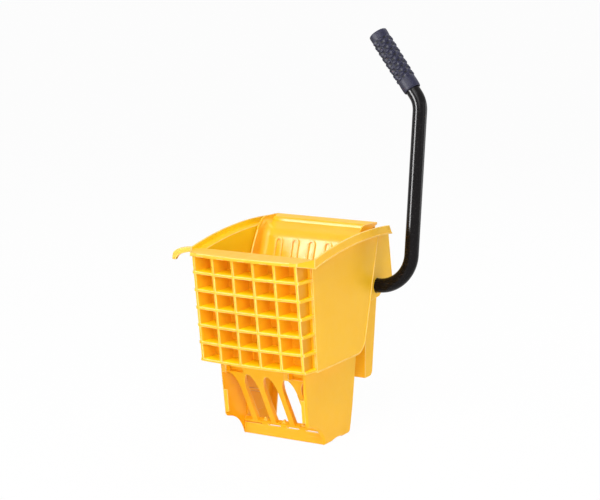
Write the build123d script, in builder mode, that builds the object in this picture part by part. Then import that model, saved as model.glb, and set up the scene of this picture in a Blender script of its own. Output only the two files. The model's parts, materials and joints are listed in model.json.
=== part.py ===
"""Side-press mop wringer, in millimetres.

X runs along the ribbed front, Y from the front to the back, Z up.
The origin is on the floor, under the middle of the chute's foot lip.
"""
import math
import os

from build123d import *

os.makedirs("parts", exist_ok=True)

# Moulded body
WALL = 3.0
HALF_WIDTH = 107.0
FLOOR_Z = 148.0

# Ribbed front
COLUMNS = 5
ROWS = 6
CELL_WIDTH = 39.5
ROW_PITCH = 31.05
RIB = 5.0
UPRIGHT = 4.7
CRATE_MIDDLE_Z = 246.0
CRATE_FRONT_Y = -131.0
CRATE_LEAN = math.radians(8.47)
CRATE_BOW_RADIUS = 850.0
CRATE_FRONT_HALF = 102.5
END_RIB_INSET = 5.0
WALL_FOOT_Y = -78.0
WALL_LEAN = math.radians(5.98)
TOP_PLATE = 6.2
TOP_PLATE_OVERHANG = 2.0
TOP_CORNER_HALF = 103.0

# Side rims
RIM_REACH = 13.0
RIM_LIP_HEIGHT = 16.5
RIM_LEDGE_DROP = 10.5
RIM_FRONT = (-111.0, 346.8)
RIM_CROWN = (24.0, 365.3)
RIM_REAR = (158.0, 363.7)
RIM_REAR_SLANT = 0.65
EDGE_BEAD = 2.6
EDGE_BEAD_RISE = 1.2

# Side panels
PANEL_REAR_FOOT_Y = 88.0
PANEL_REAR_SLOPE = 0.2605
PANEL_CORNER_R = 32.0
FLOOR_LEDGE_END_Y = 62.0

# Hook on the left rim
HOOK_TOP = ((-143.0, 342.5), (-156.5, 334.5), (-159.0, 321.0))
HOOK_UNDER = ((-152.0, 321.0), (-146.5, 330.0), (-134.0, 334.5))
HOOK_ROOT_TOP_Z = 346.3
HOOK_ROOT_LOW_Z = 337.5
HOOK_DEPTH = 8.0

# Chute
CHUTE_HALF = 83.0
CHUTE_FRONT_FOOT = (-69.8, 57.0)
CHUTE_FRONT_SLOPE = 0.141
CHUTE_CORNER = (-67.8, 46.0)
CHUTE_SCOOP_START = (-52.0, 42.0)
CHUTE_SCOOP_MIDDLE = (-27.0, 29.5)
CHUTE_TOE_Y = -6.0
CHUTE_HEEL_Y = 86.0
CHUTE_REAR_TOP_Y = 106.6
CHUTE_FLANGE = 7.5
CHUTE_FLANGE_TOP_Z = 95.0
CHUTE_REAR_FLANGE = 11.0
CHUTE_REAR_FLANGE_FOOT_Z = 8.0
CHUTE_ARCH_RISE = 2.5
CHUTE_ARCH_FRONT_Y = 20.0
CHUTE_ARCH_REAR_Y = 60.0
CHUTE_CORNER_R = 8.0
CHUTE_HEEL_R = 8.0
PAD_MIDDLE = (29.0, 70.0)
PAD_WIDTH = 54.0
PAD_HEIGHT = 78.0
PAD_THICK = 2.0
PAD_BAR_TURN = -17.0

# Grate and foot lip
GRATE_LEAN = math.radians(30.4)
GRATE_TOP_Y = -79.5
GRATE_LENGTH = 146.0
GRATE_DEPTH = 9.0
SLOT_PITCH = 37.5
SLOT_WIDTH = 27.0
SLOT_TOP = 29.0
SLOT_LENGTH = 112.0
SLOT_COUNT = 5
SLOT_POINT = 40.0
WINDOW_IN = 43.5
WINDOW_DROP = 25.0
WINDOW_DEPTH = 6.0
TAB_WIDTH = 9.5
TAB_FRONT_Y = -81.5
TAB_LOW_Z = 127.0
LIP_HEIGHT = 18.0
LIP_FOOT = 12.0
LIP_EDGE_R = 2.5
GUSSET_TOP_Z = 34.0
GUSSET_FOOT_HALF = 9.0
GUSSET_TOP_HALF = 1.0
GUSSET_DEPTH = 5.0

# Axle, cranks and handle
AXLE_Y = 144.0
AXLE_Z = 257.0
TUBE_R = 12.7
TUBE_WALL = 1.8
RUN_CLEARANCE = 0.06
WING_HOLE_GAP = 0.4
HANDLE_LEAN = math.radians(6.0)
HANDLE_OUT = 167.0
HANDLE_RISE = 325.0
HANDLE_BEND_R = 60.0
GRIP_BEND_R = 45.0
GRIP_TILT = math.radians(38.0)
GRIP_R = 15.7
GRIP_START = 26.0
GRIP_LENGTH = 124.0
GRIP_CAP = 5.0
GRIP_END_ROUND = 6.0
GRIP_RIM_ROUND = 1.2
AXLE_LEFT_END = -106.8
CRANK_R = 55.0
CRANK_REST = 105.0
CRANK_X = 35.0
CRANK_THICK = 12.0
CRANK_HUB_R = 20.0
CRANK_TIP_R = 13.0
PRESS_BAR_R = 7.0
PRESS_BAR_HALF = 45.0
CROSS_PIN_R = 3.0
CROSS_PIN_SHORT = 0.5
ROD_CHAMFER = 1.0

# Press plate
HINGE_Y = 41.0
HINGE_Z = 158.0
HINGE_ROD_R = 5.0
HINGE_BOSS_R = 10.0
HINGE_BOSS = 12.0
HINGE_BLIND = 9.0
NOTCH_GAP = 2.0
PLATE_RATIO = 0.4
PLATE_HALF = 101.5
PLATE_SHEET = 4.0
FACE_TOP = (95.0, 336.0)
FACE_LEAN = math.radians(17.6)
FACE_FOOT_Z = 166.0
FACE_BEND_Z = 344.0
FACE_BEND_R = 22.0
LEDGE_FRONT = (128.0, 357.5)
LEDGE_STEP = (130.0, 364.0)
LEDGE_REAR = (146.0, 368.0)
LEDGE_BEND_R = 3.0
REAR_FLANGE = 28.0
CHEEK_TOP = (96.0, 370.7)
CHEEK_FRONT = ((81.6, 361.0), (65.5, 338.5), (49.9, 307.7), (31.0, 255.0))
CHEEK_LOW = (27.0, 215.0)
CHEEK_FOOT_Z = 172.0
CHEEK_REAR = (139.0, 370.0)
CHEEK = 3.5
BARREL_R = 9.0
BARREL_LENGTH = 30.0
BARREL_PITCH = 60.0
LOOP_PITCH = 33.0
LOOP_COUNT = 5
LOOP_LENGTH = 122.0
LOOP_WIDTH = 16.0
LOOP_BEAD = 4.0
LOOP_RISE = 3.2
BACK_RIB_XS = (-82.0, -52.0, 52.0, 82.0)
BACK_RIB_FOOT_Z = 176.0
BACK_RIB_FOOT = 4.0
BACK_RIB_TOP_Z = 330.0
BACK_RIB_TOP = 14.0
RAIL_X = 16.0
RAIL_WIDTH = 12.0
RAIL_FOOT_WIDTH = 36.0
RAIL_FOOT_X = 20.0
RAIL_SCREW_X = 30.0
RAIL_SCREW_DROPS = (-45.0, -125.0)
RAIL_FOOT_LENGTH = 110.0
RAIL_FOOT_R = 6.0
RAIL_LEAD = 12
RAIL_STEP = 8
RAIL_FOOT = 4.0
RAIL_GAP = 0.3
HANDLE_TRAVEL = 100

# Rear brackets
WING = 4.0
WING_STRIP = 24.0
WING_REAR_TOP_Y = 185.0
WING_REAR_FOOT = (203.0, 261.0)
WING_TOP_Z = 351.0
WING_SHOULDER_Z = 340.0
WING_FOOT_Z = 180.0
WING_NOTCH_Z = 232.0
WING_STEP = (152.0, 236.0)
WING_BOTTOM = (163.0, 243.0)
WING_CORNER = (198.0, 246.0)
LEG_OUT = 90.0
LEG_IN = 58.0
LEG_FRONT_Y = 127.0
LEG_BOTTOM_Z = 90.0
LEG_TOP_Z = 243.0
LEG_FOOT_Y = 153.5
LEG_REAR_Y = 168.5
LEG_TAPER_Z = 225.0
LEG_FOOT_R = 10.0
LEG_REAR_R = 20.0
LEG_HEAD = 11.0
WEB = 4.0
LUG_Y = 155.0
LUG_THICK = 5.0
LUG_WIDTH = 16.0
LUG_HEIGHT = 26.0
LUG_TOP_Z = 353.5
BUMPER = 11.0
BUMPER_CORNER_R = 3.0
BUMPER_GAP = 0.4
BOSS_R = 21.0
BOSS_IN = 62.0
BUSH_R = 16.0
BUSH_FLANGE_R = 20.0
BUSH_FLANGE = 2.5
SCREW_R = 2.5
SCREW_HEAD_R = 5.0
SCREW_HEAD = 3.0
SCREW_HEAD_ROUND = 1.2
SCREW_ZS = (195.0, 322.0)
SCREW_SKIN = 1.0
SCREW_TIP_GAP = 0.2

INNER_HALF = HALF_WIDTH - WALL
RIM_HALF = HALF_WIDTH + RIM_REACH
LIP_IN = RIM_HALF - WALL
WING_IN = INNER_HALF - WING
CHUTE_INNER = CHUTE_HALF - WALL
shelf_heights = [CRATE_MIDDLE_Z + ROW_PITCH * (ROWS / 2 - row) for row in range(ROWS + 1)]
crate_bottom = shelf_heights[-1] - RIB / 2
crate_top = shelf_heights[0] + RIB / 2
plate_low_z = shelf_heights[0] - RIB / 2
plate_top_z = plate_low_z + TOP_PLATE


def finish(piece, name):
    """Label a finished piece and write it to its own file."""
    piece.part.label = name
    export_step(piece.part, f"parts/{name}.step")


def crate_front_y(z):
    """Front of the ribs on the middle plane, at height z."""
    return CRATE_FRONT_Y - (z - CRATE_MIDDLE_Z) * math.tan(CRATE_LEAN)


def wall_front_y(z):
    """Front face of the plain wall behind the ribs, at height z."""
    return WALL_FOOT_Y - (z - FLOOR_Z) * math.tan(WALL_LEAN)


def bow(x):
    """How far the bowed front falls back at x."""
    return CRATE_BOW_RADIUS - math.sqrt(CRATE_BOW_RADIUS**2 - x**2)


def panel_rear_y(z):
    """Rear edge of a side panel at height z."""
    return PANEL_REAR_FOOT_Y + (z - FLOOR_Z) * PANEL_REAR_SLOPE


def chute_front_y(z):
    """Front edge of a chute wall at height z."""
    return CHUTE_FRONT_FOOT[0] - (z - CHUTE_FRONT_FOOT[1]) * CHUTE_FRONT_SLOPE


def chute_rear_y(z):
    """Rear edge of a chute wall at height z."""
    return CHUTE_HEEL_Y + (CHUTE_REAR_TOP_Y - CHUTE_HEEL_Y) * z / FLOOR_Z


def face_y(z):
    """Front of the press plate's face at height z, at rest."""
    return FACE_TOP[0] - (FACE_TOP[1] - z) * math.tan(FACE_LEAN)


def rim_edge(drop):
    """Draw the top edge of a side rim, lowered by drop, from its front corner to its rear end."""
    front = (RIM_FRONT[0], RIM_FRONT[1] - drop)
    crown = (RIM_CROWN[0], RIM_CROWN[1] - drop)
    rear = (RIM_REAR[0] + drop * RIM_REAR_SLANT, RIM_REAR[1] - drop)
    ThreePointArc(front, crown, rear)
    return front, rear


def rim_strip(high, low):
    """Draw the outline of a side rim's strip between two drops below its top edge."""
    high_front, high_rear = rim_edge(high)
    low_front, low_rear = rim_edge(low)
    Line(high_front, low_front)
    Line(high_rear, low_rear)


def panel_outline(inset):
    """Draw a side panel's front, foot and rear edges, moved inwards by inset, closed above the rim."""
    foot = FLOOR_Z + inset
    above = RIM_CROWN[1]
    FilletPolyline(
        (wall_front_y(foot), foot),
        (panel_rear_y(foot) - inset, foot),
        (panel_rear_y(above) - inset, above),
        radius=PANEL_CORNER_R - inset,
    )
    Polyline(
        (panel_rear_y(above) - inset, above),
        (wall_front_y(above), above),
        (wall_front_y(foot), foot),
    )


def mirrored(piece):
    """The same piece for the other side."""
    with BuildPart() as other:
        mirror(piece.part, about=Plane.YZ)
    return other


# Front panel: crossed ribs trimmed to the bowed, leaning front, and the plain wall behind them
lean_direction = (0, -math.tan(CRATE_LEAN), 1)
lean_length = (crate_top - crate_bottom) / math.cos(CRATE_LEAN)
wall_plane = Plane(
    origin=(0, WALL_FOOT_Y, FLOOR_Z),
    x_dir=(1, 0, 0),
    z_dir=(0, math.cos(WALL_LEAN), math.sin(WALL_LEAN)),
)
crate_depth = wall_front_y(FLOOR_Z) - crate_front_y(crate_top) + 2 * RIB
crate_middle_y = wall_front_y(FLOOR_Z) - crate_depth / 2
end_rib_x = COLUMNS / 2 * CELL_WIDTH
foot_front_y = crate_front_y(crate_bottom)
plate_edge_y = crate_front_y(crate_top) - TOP_PLATE_OVERHANG
corner_front = Vector(TOP_CORNER_HALF, plate_edge_y + bow(TOP_CORNER_HALF))
corner_rear = Vector(RIM_HALF, RIM_FRONT[0])
corner_way = (corner_rear - corner_front).normalized()
corner_length = (corner_rear - corner_front).length

with BuildPart() as right_corner:
    with BuildSketch(Plane(origin=corner_front, x_dir=corner_way, z_dir=(corner_way.Y, -corner_way.X, 0))):
        with BuildLine():
            Polyline(
                (0, plate_low_z),
                (corner_length + WALL, RIM_FRONT[1] - RIM_LIP_HEIGHT),
                (corner_length + WALL, RIM_FRONT[1]),
                (0, plate_top_z),
                close=True,
            )
        make_face()
    extrude(amount=-WALL)
    split(bisect_by=Plane.XZ.offset(-RIM_FRONT[0]), keep=Keep.TOP)
left_corner = mirrored(right_corner)

with BuildPart() as front_panel:
    for shelf_z in shelf_heights:
        with BuildSketch(Plane.XY.offset(shelf_z - RIB / 2)):
            with Locations((0, crate_middle_y)):
                Rectangle(2 * HALF_WIDTH, crate_depth)
        extrude(amount=RIB)
    with BuildSketch(Plane.XY.offset(crate_bottom)):
        with Locations((0, crate_middle_y)):
            with GridLocations(CELL_WIDTH, 0, COLUMNS - 1, 1):
                Rectangle(UPRIGHT, crate_depth)
    extrude(amount=crate_top - crate_bottom)
    with BuildSketch(Plane.XY.offset(crate_bottom)):
        for side in (-1, 1):
            with BuildLine():
                Polyline(
                    (side * (end_rib_x - RIB / 2), foot_front_y),
                    (side * (end_rib_x + RIB / 2), foot_front_y),
                    (side * (end_rib_x + RIB / 2 - END_RIB_INSET), WALL_FOOT_Y + crate_depth / 4),
                    (side * (end_rib_x - RIB / 2 - END_RIB_INSET), WALL_FOOT_Y + crate_depth / 4),
                    close=True,
                )
            make_face()
    extrude(amount=lean_length, dir=lean_direction)
    with BuildSketch(Plane.XY.offset(crate_bottom)):
        with BuildLine():
            corner_y = foot_front_y + bow(CRATE_FRONT_HALF)
            ThreePointArc((-CRATE_FRONT_HALF, corner_y), (0, foot_front_y), (CRATE_FRONT_HALF, corner_y))
            Polyline(
                (CRATE_FRONT_HALF, corner_y),
                (HALF_WIDTH, WALL_FOOT_Y),
                (HALF_WIDTH, WALL_FOOT_Y + crate_depth),
                (-HALF_WIDTH, WALL_FOOT_Y + crate_depth),
                (-HALF_WIDTH, WALL_FOOT_Y),
                (-CRATE_FRONT_HALF, corner_y),
            )
        make_face()
    extrude(amount=lean_length, dir=lean_direction, mode=Mode.INTERSECT)
    with BuildSketch(Plane.XY.offset(plate_low_z)):
        with BuildLine():
            ThreePointArc((-corner_front.X, corner_front.Y), (0, plate_edge_y), (corner_front.X, corner_front.Y))
            Polyline(
                (corner_front.X, corner_front.Y),
                (LIP_IN, RIM_FRONT[0]),
                (LIP_IN, WALL_FOOT_Y),
                (-LIP_IN, WALL_FOOT_Y),
                (-LIP_IN, RIM_FRONT[0]),
                (-corner_front.X, corner_front.Y),
            )
        make_face()
    extrude(amount=TOP_PLATE)
    add([right_corner.part, left_corner.part])
    split(bisect_by=wall_plane, keep=Keep.BOTTOM)
    with BuildSketch(wall_plane):
        Rectangle(
            2 * INNER_HALF,
            (plate_top_z - FLOOR_Z) / math.cos(WALL_LEAN),
            align=(Align.CENTER, Align.MAX),
        )
    extrude(amount=WALL)
finish(front_panel, "front_panel")

# Side panels: wall, rim with ledge and lip, floor ledge over the chute wall, and a blind boss for the hinge rod
hinge_boss_in = INNER_HALF - HINGE_BOSS
screw_spots = [(panel_rear_y(z) - WING_STRIP / 2, z) for z in SCREW_ZS]

with BuildPart() as right_side_panel:
    with BuildSketch(Plane.YZ.offset(INNER_HALF)):
        with BuildLine():
            front, rear = rim_edge(RIM_LEDGE_DROP)
            Polyline(front, (front[0], FLOOR_Z), (rear[0], FLOOR_Z), rear)
        make_face()
        with BuildLine():
            panel_outline(0)
        make_face(mode=Mode.INTERSECT)
    extrude(amount=WALL)
    with BuildSketch(Plane.YZ.offset(HALF_WIDTH)):
        with BuildLine():
            front, rear = rim_edge(RIM_LEDGE_DROP)
            Polyline(front, (front[0], FLOOR_Z), (rear[0], FLOOR_Z), rear)
        make_face()
        with BuildLine():
            panel_outline(0)
        make_face(mode=Mode.INTERSECT)
        with BuildLine():
            panel_outline(EDGE_BEAD)
        make_face(mode=Mode.SUBTRACT)
    extrude(amount=EDGE_BEAD_RISE)
    with BuildSketch(Plane.YZ.offset(INNER_HALF)):
        with BuildLine():
            rim_strip(RIM_LEDGE_DROP, RIM_LEDGE_DROP + WALL)
        make_face()
        above = RIM_CROWN[1]
        with BuildLine():
            Polyline(
                (wall_front_y(FLOOR_Z), FLOOR_Z),
                (2 * RIM_REAR[0], FLOOR_Z),
                (2 * RIM_REAR[0], above),
                (wall_front_y(above), above),
                close=True,
            )
        make_face(mode=Mode.INTERSECT)
    extrude(amount=LIP_IN - INNER_HALF)
    with BuildSketch(Plane.YZ.offset(LIP_IN)):
        with BuildLine():
            rim_strip(0, RIM_LIP_HEIGHT)
        make_face()
    extrude(amount=WALL)
    with BuildSketch(Plane.YZ.offset(RIM_HALF)):
        with BuildLine():
            rim_strip(RIM_LIP_HEIGHT - EDGE_BEAD, RIM_LIP_HEIGHT)
        make_face()
    extrude(amount=EDGE_BEAD_RISE)
    with BuildSketch(Plane.YZ.offset(CHUTE_INNER)):
        with BuildLine():
            Polyline(
                (WALL_FOOT_Y + WALL, FLOOR_Z),
                (FLOOR_LEDGE_END_Y, FLOOR_Z),
                (FLOOR_LEDGE_END_Y, FLOOR_Z + WALL),
                (WALL_FOOT_Y + WALL, FLOOR_Z + WALL),
                close=True,
            )
        make_face()
    extrude(amount=INNER_HALF - CHUTE_INNER)
    with BuildSketch(Plane.YZ.offset(hinge_boss_in)):
        with Locations((HINGE_Y, HINGE_Z)):
            Circle(HINGE_BOSS_R)
    extrude(amount=HINGE_BOSS)
    with BuildSketch(Plane.YZ.offset(hinge_boss_in)):
        with Locations((HINGE_Y, HINGE_Z)):
            Circle(HINGE_ROD_R + RUN_CLEARANCE / 2)
    extrude(amount=HINGE_BLIND, mode=Mode.SUBTRACT)
    with BuildSketch(Plane.YZ.offset(INNER_HALF)):
        with Locations(*screw_spots):
            Circle(SCREW_R + RUN_CLEARANCE)
    extrude(amount=WALL - SCREW_SKIN, mode=Mode.SUBTRACT)
left_side_panel = mirrored(right_side_panel)
finish(right_side_panel, "right_side_panel")
finish(left_side_panel, "left_side_panel")

# Hook that steadies the basket on a bucket's rim, at the front left corner
with BuildPart() as bucket_hook:
    with BuildSketch(Plane.XZ.offset(-RIM_FRONT[0])):
        with BuildLine():
            Spline((-RIM_HALF, HOOK_ROOT_TOP_Z), *HOOK_TOP)
            Line(HOOK_TOP[-1], HOOK_UNDER[0])
            Spline(*HOOK_UNDER, (-RIM_HALF, HOOK_ROOT_LOW_Z))
            Line((-RIM_HALF, HOOK_ROOT_LOW_Z), (-RIM_HALF, HOOK_ROOT_TOP_Z))
        make_face()
    extrude(amount=-HOOK_DEPTH)
finish(bucket_hook, "bucket_hook")

# Chute walls: scooped toe, front and rear flanges, and a stiffening pad inside
with BuildPart() as right_chute_wall:
    with BuildSketch(Plane.YZ.offset(CHUTE_INNER)):
        with BuildLine():
            FilletPolyline(
                (chute_front_y(FLOOR_Z), FLOOR_Z),
                CHUTE_CORNER,
                CHUTE_SCOOP_START,
                radius=CHUTE_CORNER_R,
            )
            ThreePointArc(CHUTE_SCOOP_START, CHUTE_SCOOP_MIDDLE, (CHUTE_TOE_Y, 0))
            FilletPolyline(
                (CHUTE_TOE_Y, 0),
                (CHUTE_HEEL_Y, 0),
                (CHUTE_REAR_TOP_Y, FLOOR_Z),
                radius=CHUTE_HEEL_R,
            )
            Line((CHUTE_REAR_TOP_Y, FLOOR_Z), (chute_front_y(FLOOR_Z), FLOOR_Z))
        make_face()
        with BuildLine():
            arch_middle_y = (CHUTE_ARCH_FRONT_Y + CHUTE_ARCH_REAR_Y) / 2
            ThreePointArc((CHUTE_ARCH_FRONT_Y, 0), (arch_middle_y, CHUTE_ARCH_RISE), (CHUTE_ARCH_REAR_Y, 0))
            Line((CHUTE_ARCH_REAR_Y, 0), (CHUTE_ARCH_FRONT_Y, 0))
        make_face(mode=Mode.SUBTRACT)
    extrude(amount=WALL)
    flange_foot_z = CHUTE_CORNER[1] + CHUTE_CORNER_R
    with BuildSketch(Plane.YZ.offset(CHUTE_INNER - CHUTE_FLANGE)):
        with BuildLine():
            Polyline(
                (chute_front_y(CHUTE_FLANGE_TOP_Z), CHUTE_FLANGE_TOP_Z),
                (chute_front_y(CHUTE_FLANGE_TOP_Z) + WALL, CHUTE_FLANGE_TOP_Z),
                (chute_front_y(flange_foot_z) + WALL, flange_foot_z),
                (chute_front_y(flange_foot_z), flange_foot_z),
                close=True,
            )
        make_face()
    extrude(amount=CHUTE_FLANGE)
    with BuildSketch(Plane.YZ.offset(CHUTE_INNER - CHUTE_REAR_FLANGE)):
        with BuildLine():
            Polyline(
                (chute_rear_y(FLOOR_Z), FLOOR_Z),
                (chute_rear_y(FLOOR_Z) - WALL, FLOOR_Z),
                (chute_rear_y(CHUTE_REAR_FLANGE_FOOT_Z) - WALL, CHUTE_REAR_FLANGE_FOOT_Z),
                (chute_rear_y(CHUTE_REAR_FLANGE_FOOT_Z), CHUTE_REAR_FLANGE_FOOT_Z),
                close=True,
            )
        make_face()
    extrude(amount=CHUTE_REAR_FLANGE)
    with BuildSketch(Plane.YZ.offset(CHUTE_INNER - PAD_THICK)):
        with Locations(PAD_MIDDLE):
            Rectangle(PAD_WIDTH, PAD_HEIGHT)
    extrude(amount=PAD_THICK)
    with BuildSketch(Plane.YZ.offset(CHUTE_INNER - 2 * PAD_THICK)):
        with Locations(PAD_MIDDLE):
            Rectangle(PAD_WIDTH, RIB, rotation=PAD_BAR_TURN)
    extrude(amount=2 * PAD_THICK)
left_chute_wall = mirrored(right_chute_wall)
finish(right_chute_wall, "right_chute_wall")
finish(left_chute_wall, "left_chute_wall")

# Grate that closes the chute's front, and the foot lip below it
grate_plane = Plane(
    origin=(0, GRATE_TOP_Y, FLOOR_Z),
    x_dir=(1, 0, 0),
    z_dir=(0, -math.cos(GRATE_LEAN), -math.sin(GRATE_LEAN)),
)
with BuildPart() as chute_grate:
    with BuildSketch(grate_plane):
        with Locations((0, GRATE_DEPTH)):
            Rectangle(2 * CHUTE_INNER, GRATE_DEPTH + GRATE_LENGTH, align=(Align.CENTER, Align.MAX))
        with Locations((0, -SLOT_TOP - SLOT_POINT)):
            with GridLocations(SLOT_PITCH, 0, SLOT_COUNT, 1):
                Ellipse(SLOT_WIDTH / 2, SLOT_POINT, mode=Mode.SUBTRACT)
                Rectangle(
                    SLOT_WIDTH,
                    SLOT_LENGTH - SLOT_POINT,
                    align=(Align.CENTER, Align.MAX),
                    mode=Mode.SUBTRACT,
                )
    extrude(amount=-GRATE_DEPTH)
    with BuildSketch(grate_plane):
        for side in (-1, 1):
            with Locations((side * (WINDOW_IN + CHUTE_INNER) / 2, GRATE_DEPTH)):
                Rectangle(CHUTE_INNER - WINDOW_IN, GRATE_DEPTH + WINDOW_DROP, align=(Align.CENTER, Align.MAX))
    extrude(amount=-WINDOW_DEPTH, mode=Mode.SUBTRACT)
    with BuildSketch(Plane.XZ.offset(-TAB_FRONT_Y)):
        for tab_left in (-CHUTE_INNER, WINDOW_IN):
            with Locations((tab_left, FLOOR_Z)):
                Rectangle(TAB_WIDTH, FLOOR_Z - TAB_LOW_Z, align=(Align.MIN, Align.MAX))
    extrude(amount=-GRATE_DEPTH - WINDOW_DEPTH)
    split(bisect_by=Plane.XY.offset(FLOOR_Z), keep=Keep.BOTTOM)
    with BuildSketch(Plane.XY):
        Rectangle(2 * CHUTE_INNER, LIP_FOOT)
    extrude(amount=WALL)
    with BuildSketch(Plane.XZ.offset(LIP_FOOT / 2)):
        with Locations((0, LIP_HEIGHT / 2)):
            Rectangle(2 * CHUTE_INNER, LIP_HEIGHT)
    extrude(amount=-WALL)
    fillet(chute_grate.edges().filter_by(Axis.X).group_by(Axis.Z)[0].sort_by(Axis.Y)[0], radius=LIP_EDGE_R)
    with BuildSketch(Plane.XZ.offset(LIP_FOOT / 2)):
        for gusset_x in (-SLOT_PITCH, 0, SLOT_PITCH):
            with BuildLine():
                Polyline(
                    (gusset_x - GUSSET_FOOT_HALF, LIP_HEIGHT - WALL),
                    (gusset_x + GUSSET_FOOT_HALF, LIP_HEIGHT - WALL),
                    (gusset_x + GUSSET_TOP_HALF, GUSSET_TOP_Z),
                    (gusset_x - GUSSET_TOP_HALF, GUSSET_TOP_Z),
                    close=True,
                )
            make_face()
    extrude(amount=-GUSSET_DEPTH)
finish(chute_grate, "chute_grate")

# Rear brackets: wing that carries the axle, channel leg behind the bucket wall, lug for the rest bumper
with BuildPart() as right_bracket:
    with BuildSketch(Plane.YZ.offset(WING_IN)):
        with BuildLine():
            Polyline(
                (panel_rear_y(WING_FOOT_Z) - WING_STRIP, WING_FOOT_Z),
                (panel_rear_y(WING_FOOT_Z) - WALL, WING_FOOT_Z),
                (panel_rear_y(WING_NOTCH_Z) - WALL, WING_NOTCH_Z),
                WING_STEP,
                WING_BOTTOM,
                WING_CORNER,
                WING_REAR_FOOT,
                (WING_REAR_TOP_Y, WING_TOP_Z),
                (AXLE_Y, WING_TOP_Z),
                (panel_rear_y(WING_SHOULDER_Z) - WING_STRIP, WING_SHOULDER_Z),
                close=True,
            )
        make_face()
    extrude(amount=WING)
    with BuildSketch(Plane.YZ.offset(LEG_IN)):
        with BuildLine():
            FilletPolyline(
                (LEG_FRONT_Y, LEG_BOTTOM_Z),
                (LEG_FOOT_Y, LEG_BOTTOM_Z),
                (LEG_REAR_Y, LEG_TAPER_Z),
                (LEG_REAR_Y, LEG_TOP_Z),
                radius=[LEG_FOOT_R, LEG_REAR_R],
            )
            Polyline((LEG_REAR_Y, LEG_TOP_Z), (LEG_FRONT_Y, LEG_TOP_Z), (LEG_FRONT_Y, LEG_BOTTOM_Z))
        make_face()
    extrude(amount=LEG_OUT - LEG_IN)
    with BuildSketch(Plane.YZ.offset(LEG_IN + WALL)):
        with Locations((LEG_FRONT_Y + WALL, LEG_BOTTOM_Z + WALL)):
            Rectangle(
                LEG_REAR_Y - LEG_FRONT_Y,
                LEG_TOP_Z - LEG_BOTTOM_Z - WALL - LEG_HEAD,
                align=(Align.MIN, Align.MIN),
            )
    extrude(amount=LEG_OUT - LEG_IN - 2 * WALL, mode=Mode.SUBTRACT)
    with BuildSketch(Plane.YZ.offset(BOSS_IN)):
        with Locations((AXLE_Y, AXLE_Z)):
            Circle(BOSS_R)
    extrude(amount=WING_IN - BOSS_IN)
    with BuildSketch(Plane.YZ.offset(LEG_OUT - WALL)):
        with Locations((LEG_FRONT_Y, LEG_TOP_Z)):
            Rectangle(WING_BOTTOM[0] - LEG_FRONT_Y, WEB, align=(Align.MIN, Align.MAX))
    extrude(amount=WING_IN - LEG_OUT + WALL)
    with BuildSketch(Plane.XZ.offset(-LUG_Y)):
        with Locations((WING_IN, LUG_TOP_Z)):
            Rectangle(LUG_WIDTH, LUG_HEIGHT, align=(Align.MAX, Align.MAX))
    extrude(amount=-LUG_THICK)
    with BuildSketch(Plane.YZ.offset(LEG_IN)):
        with Locations((AXLE_Y, AXLE_Z)):
            Circle(BUSH_R + RUN_CLEARANCE / 2)
    extrude(amount=WING_IN - LEG_IN, mode=Mode.SUBTRACT)
    with BuildSketch(Plane.YZ.offset(WING_IN)):
        with Locations((AXLE_Y, AXLE_Z)):
            Circle(TUBE_R + WING_HOLE_GAP)
    extrude(amount=WING, mode=Mode.SUBTRACT)
    with BuildSketch(Plane.YZ.offset(LEG_IN)):
        with Locations((AXLE_Y, AXLE_Z)):
            Circle(BOSS_R)
    extrude(amount=BOSS_IN - LEG_IN, mode=Mode.SUBTRACT)
    with BuildSketch(Plane.YZ.offset(WING_IN)):
        with Locations(*screw_spots):
            Circle(SCREW_R + RUN_CLEARANCE)
    extrude(amount=WING, mode=Mode.SUBTRACT)
left_bracket = mirrored(right_bracket)
finish(right_bracket, "right_bracket")
finish(left_bracket, "left_bracket")

# Cross bar between the legs, a channel open to the back
CROSS_BAR_FRONT_Y = LEG_FRONT_Y + 2
CROSS_BAR_DEPTH = 21.0
CROSS_BAR_LOW_Z = 150.0
CROSS_BAR_HEIGHT = 26.0
with BuildPart() as cross_bar:
    with BuildSketch(Plane.YZ.offset(-LEG_IN)):
        with Locations((CROSS_BAR_FRONT_Y, CROSS_BAR_LOW_Z)):
            Rectangle(CROSS_BAR_DEPTH, CROSS_BAR_HEIGHT, align=(Align.MIN, Align.MIN))
        with Locations((CROSS_BAR_FRONT_Y + WALL, CROSS_BAR_LOW_Z + WALL)):
            Rectangle(
                CROSS_BAR_DEPTH,
                CROSS_BAR_HEIGHT - 2 * WALL,
                align=(Align.MIN, Align.MIN),
                mode=Mode.SUBTRACT,
            )
    extrude(amount=2 * LEG_IN)
finish(cross_bar, "cross_bar")

# Screws from inside, through each bracket's wing into its side panel
with BuildPart() as right_bracket_screws:
    with BuildSketch(Plane.YZ.offset(WING_IN)):
        with Locations(*screw_spots):
            Circle(SCREW_R)
    extrude(amount=WING + WALL - SCREW_SKIN - SCREW_TIP_GAP)
    with BuildSketch(Plane.YZ.offset(WING_IN)):
        with Locations(*screw_spots):
            Circle(SCREW_HEAD_R)
    extrude(amount=-SCREW_HEAD)
    fillet(right_bracket_screws.faces().sort_by(Axis.X)[:2].edges(), radius=SCREW_HEAD_ROUND)
left_bracket_screws = mirrored(right_bracket_screws)
finish(right_bracket_screws, "right_bracket_screws")
finish(left_bracket_screws, "left_bracket_screws")

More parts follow.
